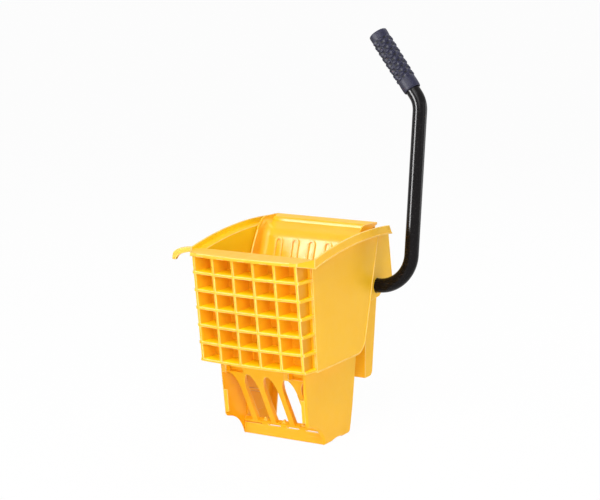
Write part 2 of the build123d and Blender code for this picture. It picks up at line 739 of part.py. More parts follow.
# Flanged bushes that the axle turns in
with BuildPart() as right_axle_bush:
    with BuildSketch(Plane.YZ.offset(BOSS_IN)):
        with Locations((AXLE_Y, AXLE_Z)):
            Circle(BUSH_R)
    extrude(amount=WING_IN - BOSS_IN)
    with BuildSketch(Plane.YZ.offset(BOSS_IN)):
        with Locations((AXLE_Y, AXLE_Z)):
            Circle(BUSH_FLANGE_R)
    extrude(amount=-BUSH_FLANGE)
    with BuildSketch(Plane.YZ.offset(BOSS_IN - BUSH_FLANGE)):
        with Locations((AXLE_Y, AXLE_Z)):
            Circle(TUBE_R + RUN_CLEARANCE)
    extrude(amount=WING_IN - BOSS_IN + BUSH_FLANGE, mode=Mode.SUBTRACT)
left_axle_bush = mirrored(right_axle_bush)
finish(right_axle_bush, "right_axle_bush")
finish(left_axle_bush, "left_axle_bush")

# Rubber bumpers that the plate's top edge rests against
bumper_front_y = LEDGE_REAR[0] + PLATE_SHEET / 2 + BUMPER_GAP
with BuildPart() as rest_bumpers:
    with BuildSketch(Plane.XZ.offset(-LUG_Y)):
        for side in (-1, 1):
            with Locations((side * (WING_IN - LUG_WIDTH / 2), LUG_TOP_Z - LUG_WIDTH / 2)):
                RectangleRounded(BUMPER, BUMPER, BUMPER_CORNER_R)
    extrude(amount=LUG_Y - bumper_front_y)
finish(rest_bumpers, "rest_bumpers")

# Hinge rod at the foot of the press plate
with BuildPart() as hinge_rod:
    rod_half = hinge_boss_in + HINGE_BLIND - 2 * ROD_CHAMFER
    with BuildSketch(Plane.YZ.offset(-rod_half)):
        with Locations((HINGE_Y, HINGE_Z)):
            Circle(HINGE_ROD_R)
    extrude(amount=2 * rod_half)
    chamfer(hinge_rod.faces().filter_by(Axis.X).edges(), length=ROD_CHAMFER)
finish(hinge_rod, "hinge_rod")

# Handle: one bent tube, with the axle as its lower run, leaning back at rest
handle_plane = Plane(
    origin=(0, AXLE_Y, AXLE_Z),
    x_dir=(1, 0, 0),
    z_dir=(0, -math.cos(HANDLE_LEAN), math.sin(HANDLE_LEAN)),
)
pin_angle = math.radians(CRANK_REST + 90.0)
pin_direction = (0, math.cos(pin_angle), math.sin(pin_angle))


def past_bend(distance):
    """Point of the handle's plane that far past the upper bend's corner, along the grip."""
    return HANDLE_OUT - distance * math.sin(GRIP_TILT), HANDLE_RISE + distance * math.cos(GRIP_TILT)


with BuildLine(handle_plane) as handle_path:
    FilletPolyline(
        (AXLE_LEFT_END, 0),
        (HANDLE_OUT, 0),
        past_bend(0),
        past_bend(GRIP_START + GRIP_LENGTH - GRIP_CAP),
        radius=[HANDLE_BEND_R, GRIP_BEND_R],
    )

with BuildPart() as handle_tube:
    for run in handle_path.edges():
        with BuildSketch(Plane(origin=run @ 0, z_dir=run % 0)):
            Circle(TUBE_R)
            Circle(TUBE_R - TUBE_WALL, mode=Mode.SUBTRACT)
        sweep(path=run)
    for crank_x in (-CRANK_X, CRANK_X):
        with BuildSketch(Plane(origin=(crank_x, AXLE_Y, AXLE_Z), z_dir=pin_direction)):
            Circle(CROSS_PIN_R + RUN_CLEARANCE)
        extrude(amount=CRANK_HUB_R, both=True, mode=Mode.SUBTRACT)
finish(handle_tube, "handle_tube")

# Grip pushed over the handle's end
grip_base = handle_path.line @ 1 - (handle_path.line % 1) * (GRIP_LENGTH - GRIP_CAP)
grip_plane = Plane(origin=grip_base, z_dir=handle_path.line % 1)
with BuildPart() as grip:
    with BuildSketch(grip_plane):
        Circle(GRIP_R)
    extrude(amount=GRIP_LENGTH)
    fillet(grip.edges().filter_by(GeomType.CIRCLE).sort_by(Axis.Z)[-1], radius=GRIP_END_ROUND)
    fillet(grip.edges().filter_by(GeomType.CIRCLE).sort_by(Axis.Z)[0], radius=GRIP_RIM_ROUND)
    with BuildSketch(grip_plane):
        Circle(TUBE_R + RUN_CLEARANCE)
    extrude(amount=GRIP_LENGTH - GRIP_CAP, mode=Mode.SUBTRACT)
finish(grip, "grip")

# Crank arms pinned to the axle, with the press bar between their tips
crank_angle = math.radians(CRANK_REST)
press_bar_y = AXLE_Y + CRANK_R * math.cos(crank_angle)
press_bar_z = AXLE_Z + CRANK_R * math.sin(crank_angle)


def crank_arm(middle_x):
    """One crank arm, centred on middle_x along the axle."""
    with BuildPart() as arm:
        with BuildSketch(Plane.YZ.offset(middle_x - CRANK_THICK / 2)):
            with Locations((AXLE_Y, AXLE_Z)):
                Circle(CRANK_HUB_R)
            with Locations((press_bar_y, press_bar_z)):
                Circle(CRANK_TIP_R)
            make_hull()
            with Locations((AXLE_Y, AXLE_Z)):
                Circle(TUBE_R + RUN_CLEARANCE, mode=Mode.SUBTRACT)
            with Locations((press_bar_y, press_bar_z)):
                Circle(PRESS_BAR_R + RUN_CLEARANCE, mode=Mode.SUBTRACT)
        extrude(amount=CRANK_THICK)
        with BuildSketch(Plane(origin=(middle_x, AXLE_Y, AXLE_Z), z_dir=pin_direction)):
            Circle(CROSS_PIN_R + RUN_CLEARANCE)
        extrude(amount=2 * CRANK_HUB_R, both=True, mode=Mode.SUBTRACT)
    return arm


right_crank_arm = crank_arm(CRANK_X)
left_crank_arm = crank_arm(-CRANK_X)
finish(right_crank_arm, "right_crank_arm")
finish(left_crank_arm, "left_crank_arm")

with BuildPart() as crank_pins:
    for crank_x in (-CRANK_X, CRANK_X):
        with BuildSketch(Plane(origin=(crank_x, AXLE_Y, AXLE_Z), z_dir=pin_direction)):
            Circle(CROSS_PIN_R)
        extrude(amount=CRANK_HUB_R - CROSS_PIN_SHORT, both=True)
finish(crank_pins, "crank_pins")

with BuildPart() as press_bar:
    with BuildSketch(Plane.YZ.offset(-PRESS_BAR_HALF)):
        with Locations((press_bar_y, press_bar_z)):
            Circle(PRESS_BAR_R)
    extrude(amount=2 * PRESS_BAR_HALF)
    chamfer(press_bar.faces().filter_by(Axis.X).edges(), length=ROD_CHAMFER)
finish(press_bar, "press_bar")

# Collar, thrust washers and end cap that hold the axle endways
COLLAR_X = 45.0
COLLAR = 11.5
COLLAR_R = 19.0
COLLAR_CHAMFER = 1.0
WASHER = 2.2
WASHER_R = 19.5
END_GAP = 0.3
CAP_R = 18.0
CAP_THICK = 5.0
CAP_ROUND = 2.5
CAP_PLUG = 14.0
with BuildPart() as shaft_collar:
    with BuildSketch(Plane.YZ.offset(COLLAR_X)):
        with Locations((AXLE_Y, AXLE_Z)):
            Circle(COLLAR_R)
            Circle(TUBE_R + RUN_CLEARANCE, mode=Mode.SUBTRACT)
    extrude(amount=COLLAR)
    chamfer(shaft_collar.edges().filter_by(GeomType.CIRCLE).sort_by(SortBy.RADIUS)[-2:], length=COLLAR_CHAMFER)
finish(shaft_collar, "shaft_collar")

with BuildPart() as thrust_washers:
    for washer_x in (COLLAR_X + COLLAR + END_GAP, AXLE_LEFT_END + END_GAP):
        with BuildSketch(Plane.YZ.offset(washer_x)):
            with Locations((AXLE_Y, AXLE_Z)):
                Circle(WASHER_R)
                Circle(TUBE_R + RUN_CLEARANCE, mode=Mode.SUBTRACT)
        extrude(amount=WASHER)
finish(thrust_washers, "thrust_washers")

with BuildPart() as axle_end_cap:
    with BuildSketch(Plane.YZ.offset(AXLE_LEFT_END)):
        with Locations((AXLE_Y, AXLE_Z)):
            Circle(CAP_R)
    extrude(amount=-CAP_THICK)
    fillet(axle_end_cap.faces().sort_by(Axis.X)[0].edges(), radius=CAP_ROUND)
    with BuildSketch(Plane.YZ.offset(AXLE_LEFT_END)):
        with Locations((AXLE_Y, AXLE_Z)):
            Circle(TUBE_R - TUBE_WALL - RUN_CLEARANCE)
    extrude(amount=CAP_PLUG)
finish(axle_end_cap, "axle_end_cap")

# Return spring: a coil round the axle, one leg on the cross bar and one hooked before the left crank
SPRING_WIRE_R = 1.4
SPRING_R = 16.6
SPRING_START_X = -56.0
SPRING_TURNS = 4
SPRING_PITCH = 3.0
SPRING_HOOK_RISE = 35.0
SPRING_HOOK_REACH = 27.5
SPRING_LEG_FOOT_Z = 158.0
SPRING_LAP = 1.0
spring_end_x = SPRING_START_X + SPRING_TURNS * SPRING_PITCH
spring_front_y = AXLE_Y - SPRING_R
spring_plane = Plane(origin=(SPRING_START_X, AXLE_Y, AXLE_Z), x_dir=(0, -1, 0), z_dir=(1, 0, 0))
coil = spring_plane * Helix(SPRING_PITCH, SPRING_TURNS * SPRING_PITCH, SPRING_R, lefthand=True)
with BuildPart() as return_spring:
    with BuildSketch(Plane(origin=coil @ 0, z_dir=coil % 0)):
        Circle(SPRING_WIRE_R)
    sweep(path=coil, is_frenet=True)
    hook_corner = (spring_end_x, AXLE_Y - SPRING_HOOK_REACH, AXLE_Z + SPRING_HOOK_RISE)
    hook_tip = (-CRANK_X + CRANK_THICK / 2, hook_corner[1], hook_corner[2])
    for start, end in (
        ((SPRING_START_X, spring_front_y, AXLE_Z + SPRING_LAP), (SPRING_START_X, spring_front_y, SPRING_LEG_FOOT_Z)),
        ((spring_end_x, spring_front_y, AXLE_Z - SPRING_LAP), hook_corner),
        (hook_corner, hook_tip),
    ):
        with BuildLine() as leg:
            Line(start, end)
        with BuildSketch(Plane(origin=leg.line @ 0, z_dir=leg.line % 0)):
            Circle(SPRING_WIRE_R)
        sweep()
finish(return_spring, "return_spring")

# Press plate: leaning face with a top ledge, end cheeks, hinge barrels, embossed loops and back ribs
sheet_back = PLATE_SHEET / math.cos(FACE_LEAN)
face_plane = Plane(
    origin=(0, FACE_TOP[0], FACE_TOP[1]),
    x_dir=(1, 0, 0),
    z_dir=(0, -math.cos(FACE_LEAN), math.sin(FACE_LEAN)),
)
back_plane = face_plane.offset(-PLATE_SHEET)
rail_screw_spots = [(x, along) for x in (-RAIL_SCREW_X, RAIL_SCREW_X) for along in RAIL_SCREW_DROPS]
face_bend = (face_y(FACE_BEND_Z) + sheet_back / 2, FACE_BEND_Z)
with BuildPart() as press_plate:
    with BuildSketch(Plane.YZ.offset(-PLATE_HALF)):
        with BuildLine() as sheet_line:
            FilletPolyline(
                (face_y(FACE_FOOT_Z) + sheet_back / 2, FACE_FOOT_Z),
                face_bend,
                LEDGE_FRONT,
                LEDGE_STEP,
                LEDGE_REAR,
                radius=[FACE_BEND_R, LEDGE_BEND_R, LEDGE_BEND_R],
            )
        trace(sheet_line.line, line_width=PLATE_SHEET)
    extrude(amount=2 * PLATE_HALF)
    with BuildSketch(Plane.YZ.offset(-WING_IN + WALL)):
        with Locations(LEDGE_REAR):
            Rectangle(PLATE_SHEET, REAR_FLANGE, align=(Align.CENTER, Align.MAX))
    extrude(amount=2 * (WING_IN - WALL))
    for cheek_x in (-PLATE_HALF, PLATE_HALF - CHEEK):
        with BuildSketch(Plane.YZ.offset(cheek_x)):
            with BuildLine():
                Spline(CHEEK_TOP, *CHEEK_FRONT, CHEEK_LOW)
                Polyline(
                    CHEEK_LOW,
                    (face_y(CHEEK_FOOT_Z), CHEEK_FOOT_Z),
                    (face_y(FACE_BEND_Z) + sheet_back, FACE_BEND_Z),
                    LEDGE_FRONT,
                    LEDGE_STEP,
                    CHEEK_REAR,
                    CHEEK_TOP,
                )
            make_face()
        extrude(amount=CHEEK)
    with BuildSketch(face_plane):
        with Locations((0, -LOOP_LENGTH / 2)):
            with GridLocations(LOOP_PITCH, 0, LOOP_COUNT, 1):
                SlotOverall(LOOP_LENGTH, LOOP_WIDTH, rotation=90)
                SlotOverall(
                    LOOP_LENGTH - 2 * LOOP_BEAD, LOOP_WIDTH - 2 * LOOP_BEAD, rotation=90, mode=Mode.SUBTRACT
                )
    extrude(amount=LOOP_RISE)
    for rib_x in BACK_RIB_XS:
        with BuildSketch(Plane.YZ.offset(rib_x - WALL / 2)):
            with BuildLine():
                Polyline(
                    (face_y(BACK_RIB_FOOT_Z) + sheet_back / 2, BACK_RIB_FOOT_Z),
                    (face_y(BACK_RIB_FOOT_Z) + sheet_back + BACK_RIB_FOOT, BACK_RIB_FOOT_Z),
                    (face_y(BACK_RIB_TOP_Z) + sheet_back + BACK_RIB_TOP, BACK_RIB_TOP_Z),
                    (face_y(BACK_RIB_TOP_Z) + sheet_back + BACK_RIB_TOP, BACK_RIB_TOP_Z + BACK_RIB_TOP),
                    (face_y(BACK_RIB_TOP_Z) + sheet_back / 2, BACK_RIB_TOP_Z),
                    close=True,
                )
            make_face()
        extrude(amount=WALL)
    for barrel in (-1, 0, 1):
        with BuildSketch(Plane.YZ.offset(barrel * BARREL_PITCH - BARREL_LENGTH / 2)):
            with Locations((HINGE_Y, HINGE_Z)):
                Circle(BARREL_R)
        extrude(amount=BARREL_LENGTH)
    with BuildSketch(Plane.YZ.offset(-PLATE_HALF)):
        with Locations((HINGE_Y, HINGE_Z)):
            Circle(HINGE_ROD_R + RUN_CLEARANCE)
    extrude(amount=2 * PLATE_HALF, mode=Mode.SUBTRACT)
    for notch_x in (-PLATE_HALF, hinge_boss_in - NOTCH_GAP):
        with BuildSketch(Plane.YZ.offset(notch_x)):
            with Locations((HINGE_Y, HINGE_Z)):
                Circle(HINGE_BOSS_R + NOTCH_GAP)
        extrude(amount=PLATE_HALF - hinge_boss_in + NOTCH_GAP, mode=Mode.SUBTRACT)
    with BuildSketch(back_plane):
        with Locations(*rail_screw_spots):
            Circle(SCREW_R + RUN_CLEARANCE)
    extrude(amount=PLATE_SHEET - SCREW_SKIN, mode=Mode.SUBTRACT)
finish(press_plate, "press_plate")

# Push rails on the back of the plate. Their rear edge is the path of the press bar as the plate sees it.
pitch_y = (AXLE_Y - PLATE_RATIO * HINGE_Y) / (1 - PLATE_RATIO)
pitch_z = (AXLE_Z - PLATE_RATIO * HINGE_Z) / (1 - PLATE_RATIO)


def rail_point(turn):
    """Point of a rail that the press bar meets when the handle has turned by so many degrees."""
    crank = math.radians(CRANK_REST + turn)
    bar = Vector(AXLE_Y + CRANK_R * math.cos(crank), AXLE_Z + CRANK_R * math.sin(crank))
    away = (bar - Vector(pitch_y, pitch_z)).normalized()
    meet = bar + away * (PRESS_BAR_R + RAIL_GAP) - Vector(HINGE_Y, HINGE_Z)
    plate = meet.rotate(Axis.Z, -turn * PLATE_RATIO)
    return plate + Vector(HINGE_Y, HINGE_Z)


def push_rail(middle_x):
    """One push rail, centred on middle_x: a foot on the plate's back and a deep web."""
    with BuildPart() as rail:
        with BuildSketch(Plane.YZ.offset(middle_x - RAIL_WIDTH / 2)):
            with BuildLine():
                turns = range(-RAIL_LEAD, HANDLE_TRAVEL + RAIL_LEAD, RAIL_STEP)
                edge = Spline(*[rail_point(turn) for turn in turns])
                Polyline(
                    edge @ 1,
                    (face_y((edge @ 1).Y) + sheet_back, (edge @ 1).Y),
                    (face_y((edge @ 0).Y) + sheet_back, (edge @ 0).Y),
                    edge @ 0,
                )
            make_face()
        extrude(amount=RAIL_WIDTH)
        with BuildSketch(back_plane):
            with Locations((math.copysign(RAIL_FOOT_X, middle_x), sum(RAIL_SCREW_DROPS) / 2)):
                RectangleRounded(RAIL_FOOT_WIDTH, RAIL_FOOT_LENGTH, RAIL_FOOT_R)
        extrude(amount=-RAIL_FOOT)
        with BuildSketch(back_plane):
            with Locations(*rail_screw_spots):
                Circle(SCREW_R + RUN_CLEARANCE)
        extrude(amount=-RAIL_FOOT, mode=Mode.SUBTRACT)
    return rail


right_push_rail = push_rail(RAIL_X)
left_push_rail = push_rail(-RAIL_X)
finish(right_push_rail, "right_push_rail")
finish(left_push_rail, "left_push_rail")

with BuildPart() as rail_screws:
    foot_back = back_plane.offset(-RAIL_FOOT)
    with BuildSketch(foot_back):
        with Locations(*rail_screw_spots):
            Circle(SCREW_R)
    extrude(amount=RAIL_FOOT + PLATE_SHEET - SCREW_SKIN - SCREW_TIP_GAP)
    with BuildSketch(foot_back):
        with Locations(*rail_screw_spots):
            Circle(SCREW_HEAD_R)
    extrude(amount=-SCREW_HEAD)
finish(rail_screws, "rail_screws")
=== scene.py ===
"""Side-press mop wringer: yellow moulded basket and chute, black bent handle. Metres, +Z up."""

import json
import math

import bmesh
import bpy
from mathutils import Matrix, Vector
from mathutils.geometry import intersect_point_line
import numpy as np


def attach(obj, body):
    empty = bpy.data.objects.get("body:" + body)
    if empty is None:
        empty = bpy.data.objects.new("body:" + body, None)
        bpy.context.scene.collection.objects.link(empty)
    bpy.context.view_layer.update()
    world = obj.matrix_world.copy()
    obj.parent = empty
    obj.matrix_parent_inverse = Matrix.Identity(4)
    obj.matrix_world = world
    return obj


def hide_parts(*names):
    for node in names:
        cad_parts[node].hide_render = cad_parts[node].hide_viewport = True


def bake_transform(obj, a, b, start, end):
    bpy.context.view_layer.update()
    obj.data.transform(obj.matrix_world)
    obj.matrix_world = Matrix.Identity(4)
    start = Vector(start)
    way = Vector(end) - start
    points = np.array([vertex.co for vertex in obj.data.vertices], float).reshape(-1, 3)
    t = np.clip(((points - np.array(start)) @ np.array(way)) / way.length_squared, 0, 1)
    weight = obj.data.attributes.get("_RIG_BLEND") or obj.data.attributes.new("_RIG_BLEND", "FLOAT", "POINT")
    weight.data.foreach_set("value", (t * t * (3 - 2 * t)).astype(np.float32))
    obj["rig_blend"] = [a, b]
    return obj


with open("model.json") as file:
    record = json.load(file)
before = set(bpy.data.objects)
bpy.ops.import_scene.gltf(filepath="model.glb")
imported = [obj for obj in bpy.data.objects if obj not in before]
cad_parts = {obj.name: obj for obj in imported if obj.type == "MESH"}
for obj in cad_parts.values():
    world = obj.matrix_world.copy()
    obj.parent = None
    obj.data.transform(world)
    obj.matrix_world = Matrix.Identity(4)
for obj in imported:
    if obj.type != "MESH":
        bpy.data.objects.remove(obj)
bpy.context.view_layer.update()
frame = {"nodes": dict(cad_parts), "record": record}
scene = bpy.context.scene
record = frame["record"]
body_of = {node: body for body, members in record["behaviour"]["bodies"].items() for node in members}
slot_of = {row["node"]: row["material_slot"] for row in record["subparts"]}

# Camera, fitted to the grid of the front ribs
CAMERA_PLACE = (1.4857, -2.5616, 0.8810)
CAMERA_YAW = math.radians(29.627)
CAMERA_PITCH = math.radians(10.470)
CAMERA_LENS = 105.5
SENSOR_WIDTH = 36.0

# Floor and light
FLOOR_REACH = 40.0
FLOOR_ROUGHNESS = 0.9
GLOW_SHARE = 0.97
WORLD_LIGHT = 0.12
BASKET_MIDDLE = (0.0, 0.0, 0.25)
CHUTE_MIDDLE = (0.0, 0.05, 0.08)
HANDLE_MIDDLE = (0.1, 0.1, 0.5)
GLOSS_BOX_WIDTH = 0.75
GLOSS_BOX_HEIGHT = 1.0
LIGHT_BOUNCES = 8

# Colours, linear
WHITE = (1.0, 1.0, 1.0)
FLOOR_WHITE = (0.90, 0.90, 0.90)
YELLOW = (0.960, 0.535, 0.022)
YELLOW_DEEP = (0.950, 0.512, 0.017)
# Pale rounded edges: partly wear, partly a painted highlight
YELLOW_WORN_AND_HIGHLIT = (1.000, 0.750, 0.260)
# Painted light: a brighter, yellower colour on the cells' floors and walls and on the basket walls' inner
# sides
YELLOW_PAINTED_LIGHT = (1.000, 0.840, 0.003)
# Painted shade: a deep tone on the chute's inner walls, the grate and the legs' fronts
AMBER_PAINTED_SHADE = (1.000, 0.510, 0.002)
# Painted shade in the shallow end pockets of the crate
POCKET_PAINTED_SHADE = (0.820, 0.365, 0.002)
BLACK_PAINT = (0.0048, 0.0039, 0.0044)
BLACK_WORN = (0.030, 0.029, 0.030)
GRIP_DARK = (0.012, 0.012, 0.030)
GRIP_LIGHT = (0.019, 0.019, 0.044)
# Painted shade in the grip's pits
GRIP_PIT_SHADE = (0.004, 0.004, 0.006)
NYLON_DARK = (0.030, 0.030, 0.031)
NYLON_LIGHT = (0.060, 0.060, 0.060)
STEEL_DARK = (0.42, 0.42, 0.42)
STEEL_LIGHT = (0.62, 0.62, 0.61)
RUBBER_DARK = (0.018, 0.018, 0.018)
RUBBER_LIGHT = (0.040, 0.040, 0.040)

# Strengths in the finishes: where a noise begins and ends to count, and how far each effect goes
SWELL_FROM = 0.35
SWELL_TO = 0.65
# Pale edges, partly wear and partly painted highlight
WEAR_AND_HIGHLIGHT_FROM = 0.30
WEAR_AND_HIGHLIGHT_TO = 0.62
WEAR_AND_HIGHLIGHT_LEAST = 0.35
WEAR_AND_HIGHLIGHT_PALENESS = 0.75
SCUFF_TURNS = (math.radians(24.0), math.radians(112.0))
SCUFF_STRETCH = 14.0
SCUFF_FROM = 0.64
SCUFF_TO = 0.72
SCUFF_PALENESS = 0.10
PAINT_DULLNESS = 0.5
PAINT_DULL_ROUGHNESS = 0.4
PAINT_SHINE = 0.13
SOFT_SHINE = 0.25

# Marks that faces or corners of a piece carry
EDGE_MARK = "rounded_edge"
PIT_SHADE_MARK = "painted_pit_shade"
PAINTED_LIGHT_MARK = "painted_light_share"
PAINTED_SHADE_MARK = "amber"
POCKET_SHADE_MARK = "pocket"
SOURCE_MARK = "source_face"

# Limits for merging, shading and rounding
MERGE = 0.00001
FLAT = math.radians(0.4)
SHARP = math.radians(25.0)
SMOOTH = math.radians(35.0)
FOLD = 1.0e-7
ROOM = 2.2
OPPOSITE = -0.5

# How squarely a face looks along an axis where it counts as looking that way, from 0 to 1
LOOKING = 0.5
SLOT_SIDE_LOOKING = 0.3
CELL_FLOOR_LOOKING = 0.9
CAP_END_LOOKING = 0.99

# Ribbed front
CRATE_ROUND = 0.0014
CRATE_FRONT_Y = -0.131
CRATE_MIDDLE_Z = 0.246
CRATE_LEAN = math.radians(8.47)
CRATE_TOP_Z = 0.337
# Where the painted shade of the end pockets lies, across the crate
POCKET_IN = 0.0960
POCKET_OUT = 0.1015
# Share of painted light on the cells' walls
CELL_WALL_PAINTED_LIGHT = 0.08

# Side walls and rear brackets
PANEL_ROUND = 0.0011
# Share of painted light on the inner sides of the basket's walls
INSIDE_PAINTED_LIGHT = 0.50
BRACKET_ROUND = 0.0012
LEG_SHADE_Z = 0.200

# Chute
GRATE_ROUND = 0.0012
# Share of painted shade on the grate away from its slot sides
GRATE_PAINTED_SHADE = 0.5
LIP_TOP_Z = 0.018
LIP_RISE = 0.0024
CHUTE_OUT = 0.083
CHUTE_EDGE_ROUND = 0.0048
CHUTE_SMALL_ROUND = 0.0009

# Press plate
PLATE_ROUND = 0.0014
CHEEK_IN = 0.098
COVE = 0.012
COVE_FOOT_Z = 0.205
COVE_HEAD_Z = 0.350

# Small pieces, screw heads and end cap
STEEL_ROUND = 0.0006
BUMPER_ROUND = 0.0009
HEAD_AREA = 0.00004
DISC_CORNERS = 12
DISC_SPREAD = 0.0001
HEX_TURN = math.pi / 3
SOCKET_FLAT = 0.0015
SOCKET_DEPTH = 0.0016
CAP_ROUND = 0.0003
CAP_RIM = 0.004
CAP_DISH = 0.0009

# Hook on the rim: top and underside points from its root to its tip, in X and Z
HOOK_FRONT_Y = -0.111
HOOK_REAR_Y = -0.103
HOOK_SECTIONS = (
    ((-0.1195, 0.3463), (-0.1195, 0.3375)),
    ((-0.1310, 0.3449), (-0.1280, 0.3360)),
    ((-0.1430, 0.3425), (-0.1375, 0.3335)),
    ((-0.1510, 0.3388), (-0.1445, 0.3307)),
    ((-0.1565, 0.3345), (-0.1490, 0.3268)),
    ((-0.1586, 0.3280), (-0.1512, 0.3238)),
    ((-0.1590, 0.3212), (-0.1520, 0.3212)),
)
HOOK_ROUND = 0.0015

# Handle, in its own plane: along the axle, up the handle, towards the front
AXLE = Vector((0.0, 0.144, 0.257))
HANDLE_LEAN = math.radians(6.0)
AXLE_LEFT_END = -0.1068
HANDLE_OUT = 0.167
HANDLE_RISE = 0.325
HANDLE_BEND_R = 0.060
TUBE_R = 0.0127
TUBE_WALL = 0.0018
TUBE_SIDES = 48
BEND_STEPS = 20
GRIP_BEND_R = 0.045
GRIP_TILT = math.radians(38.0)
GRIP_WAY = Vector((-math.sin(GRIP_TILT), math.cos(GRIP_TILT), 0.0))

# Grip, measured along it from its mouth; the spare makes up for what the rounding of its sides takes off
GRIP_START = 0.026
GRIP_LENGTH = 0.124
GRIP_CAP = 0.005
GRIP_R = 0.0160
GRIP_WAIST_R = 0.0152
GRIP_TAPER = 0.06
GRIP_BORE_R = 0.01277
GRIP_SPARE = 1.045
GRIP_MOUTH_ROUND = 0.0012
GRIP_END_ROUND = 0.0020
GRIP_END_SHORT = 0.0034
GRIP_END_FLAT = 0.0100
GRIP_BAND_STEP = 0.003
GRIP_PADS_ROUND = 6
GRIP_PAD_ROWS = 14
GRIP_PADS_START = 0.022
GRIP_PADS_END = 0.107
GRIP_PAD_GROOVE = 0.0005
GRIP_PAD_RISE = 0.0015
GRIP_PAD_FLAT = 0.0010
GRIP_PIT_IN = 0.0022
GRIP_PIT_DROP = 0.0010
GRIP_ROUNDINGS = 2

# Return spring
SPRING_WIRE_R = 0.0014
SPRING_R = 0.0166
SPRING_START_X = -0.056
SPRING_TURNS = 4
SPRING_PITCH = 0.003
SPRING_STEPS = 32
SPRING_SIDES = 12
SPRING_FOOT_Z = 0.158
SPRING_HOOK_REACH = 0.0275
SPRING_HOOK_RISE = 0.035
SPRING_HOOK_END_X = -0.029


# Node helpers

def new_group(name, values, results):
    """An empty shader node group that takes a vector and named values and gives named results."""
    tree = bpy.data.node_groups.new(name, "ShaderNodeTree")
    tree.interface.new_socket(name="Vector", in_out="INPUT", socket_type="NodeSocketVector")
    for value in values:
        tree.interface.new_socket(name=value, in_out="INPUT", socket_type="NodeSocketFloat")
    for result in results:
        tree.interface.new_socket(name=result, in_out="OUTPUT", socket_type="NodeSocketFloat")
    given = tree.nodes.new("NodeGroupInput").outputs
    wanted = tree.nodes.new("NodeGroupOutput").inputs
    return tree, tree.nodes, tree.links, given, wanted


def noise(nodes, links, vector, scale, detail, roughness=0.5):
    """A noise texture on a vector; scale is a number or a socket."""
    texture = nodes.new("ShaderNodeTexNoise")
    texture.inputs["Detail"].default_value = detail
    texture.inputs["Roughness"].default_value = roughness
    if isinstance(scale, float):
        texture.inputs["Scale"].default_value = scale
    else:
        links.new(scale, texture.inputs["Scale"])
    links.new(vector, texture.inputs["Vector"])
    return texture.outputs["Fac"]


def spread(nodes, links, value, low=0.0, high=1.0, to_low=0.0, to_high=1.0):
    """Map a value from one range to another, clamped."""
    mapping = nodes.new("ShaderNodeMapRange")
    mapping.inputs["From Min"].default_value = low
    mapping.inputs["From Max"].default_value = high
    mapping.inputs["To Min"].default_value = to_low
    mapping.inputs["To Max"].default_value = to_high
    links.new(value, mapping.inputs["Value"])
    return mapping.outputs["Result"]


def combine(nodes, links, operation, first, second):
    """A math node; each operand is a number or a socket."""
    math_node = nodes.new("ShaderNodeMath")
    math_node.operation = operation
    for operand, socket in ((first, math_node.inputs[0]), (second, math_node.inputs[1])):
        if isinstance(operand, float):
            socket.default_value = operand
        else:
            links.new(operand, socket)
    return math_node.outputs["Value"]


def blend_colors(nodes, links, amount, first, second):
    """Mix two colours by a socket; each colour is a tuple or a socket."""
    mix = nodes.new("ShaderNodeMix")
    mix.data_type = "RGBA"
    links.new(amount, mix.inputs["Factor"])
    for color, socket in ((first, mix.inputs["A"]), (second, mix.inputs["B"])):
        if isinstance(color, tuple):
            socket.default_value = (*color, 1.0)
        else:
            links.new(color, socket)
    return mix.outputs["Result"]


# Shared effects

def surface_grain_group():
    """Skin of a moulding or a paint coat: a slow swell with a fine grain, as a height and as a mask."""
    tree, nodes, links, given, wanted = new_group(
        "surface_grain", ("Swell Scale", "Grain Scale", "Grain Share"), ("Height", "Mask"))
    swell = noise(nodes, links, given["Vector"], given["Swell Scale"], detail=3.0)
    grain = noise(nodes, links, given["Vector"], given["Grain Scale"], detail=2.0)
    shared = combine(nodes, links, "MULTIPLY", grain, given["Grain Share"])
    links.new(combine(nodes, links, "ADD", swell, shared), wanted["Height"])
    links.new(spread(nodes, links, swell, SWELL_FROM, SWELL_TO), wanted["Mask"])
    return tree


def edge_wear_and_highlight_group():
    """Rounded edges made pale by wear and, on the yellow plastic, by a painted highlight: the piece's own
    edge mark, broken up by noise.
    """
    tree, nodes, links, given, wanted = new_group("edge_wear_and_highlight", ("Edge", "Scale"), ("Mask",))
    patches = noise(nodes, links, given["Vector"], given["Scale"], detail=4.0, roughness=0.6)
    broken = spread(nodes, links, patches, WEAR_AND_HIGHLIGHT_FROM, WEAR_AND_HIGHLIGHT_TO, to_low=WEAR_AND_HIGHLIGHT_LEAST)
    links.new(combine(nodes, links, "MULTIPLY", given["Edge"], broken), wanted["Mask"])
    return tree


def fine_scuff_group():
    """Thin scuffs in two directions, from stretched noise."""
    tree, nodes, links, given, wanted = new_group("fine_scuff", ("Scale",), ("Mask",))
    masks = []
    for turn in SCUFF_TURNS:
        lay = nodes.new("ShaderNodeMapping")
        lay.inputs["Rotation"].default_value = (turn, turn / 2, turn)
        lay.inputs["Scale"].default_value = (1.0, SCUFF_STRETCH, SCUFF_STRETCH)
        links.new(given["Vector"], lay.inputs["Vector"])
        streaks = noise(nodes, links, lay.outputs["Vector"], given["Scale"], detail=2.0)
        masks.append(spread(nodes, links, streaks, SCUFF_FROM, SCUFF_TO))
    links.new(combine(nodes, links, "MAXIMUM", *masks), wanted["Mask"])
    return tree


surface_grain = surface_grain_group()
edge_wear_and_highlight = edge_wear_and_highlight_group()
fine_scuff = fine_scuff_group()


# Finishes

def new_material(name):
    """An empty material with its nodes, its links and its shader."""
    material = bpy.data.materials.new(name)
    material.use_nodes = True
    nodes = material.node_tree.nodes
    links = material.node_tree.links
    return material, nodes, links, nodes["Principled BSDF"]


def own_place(nodes):
    """Where a point lies in its piece."""
    return nodes.new("ShaderNodeTexCoord").outputs["Object"]


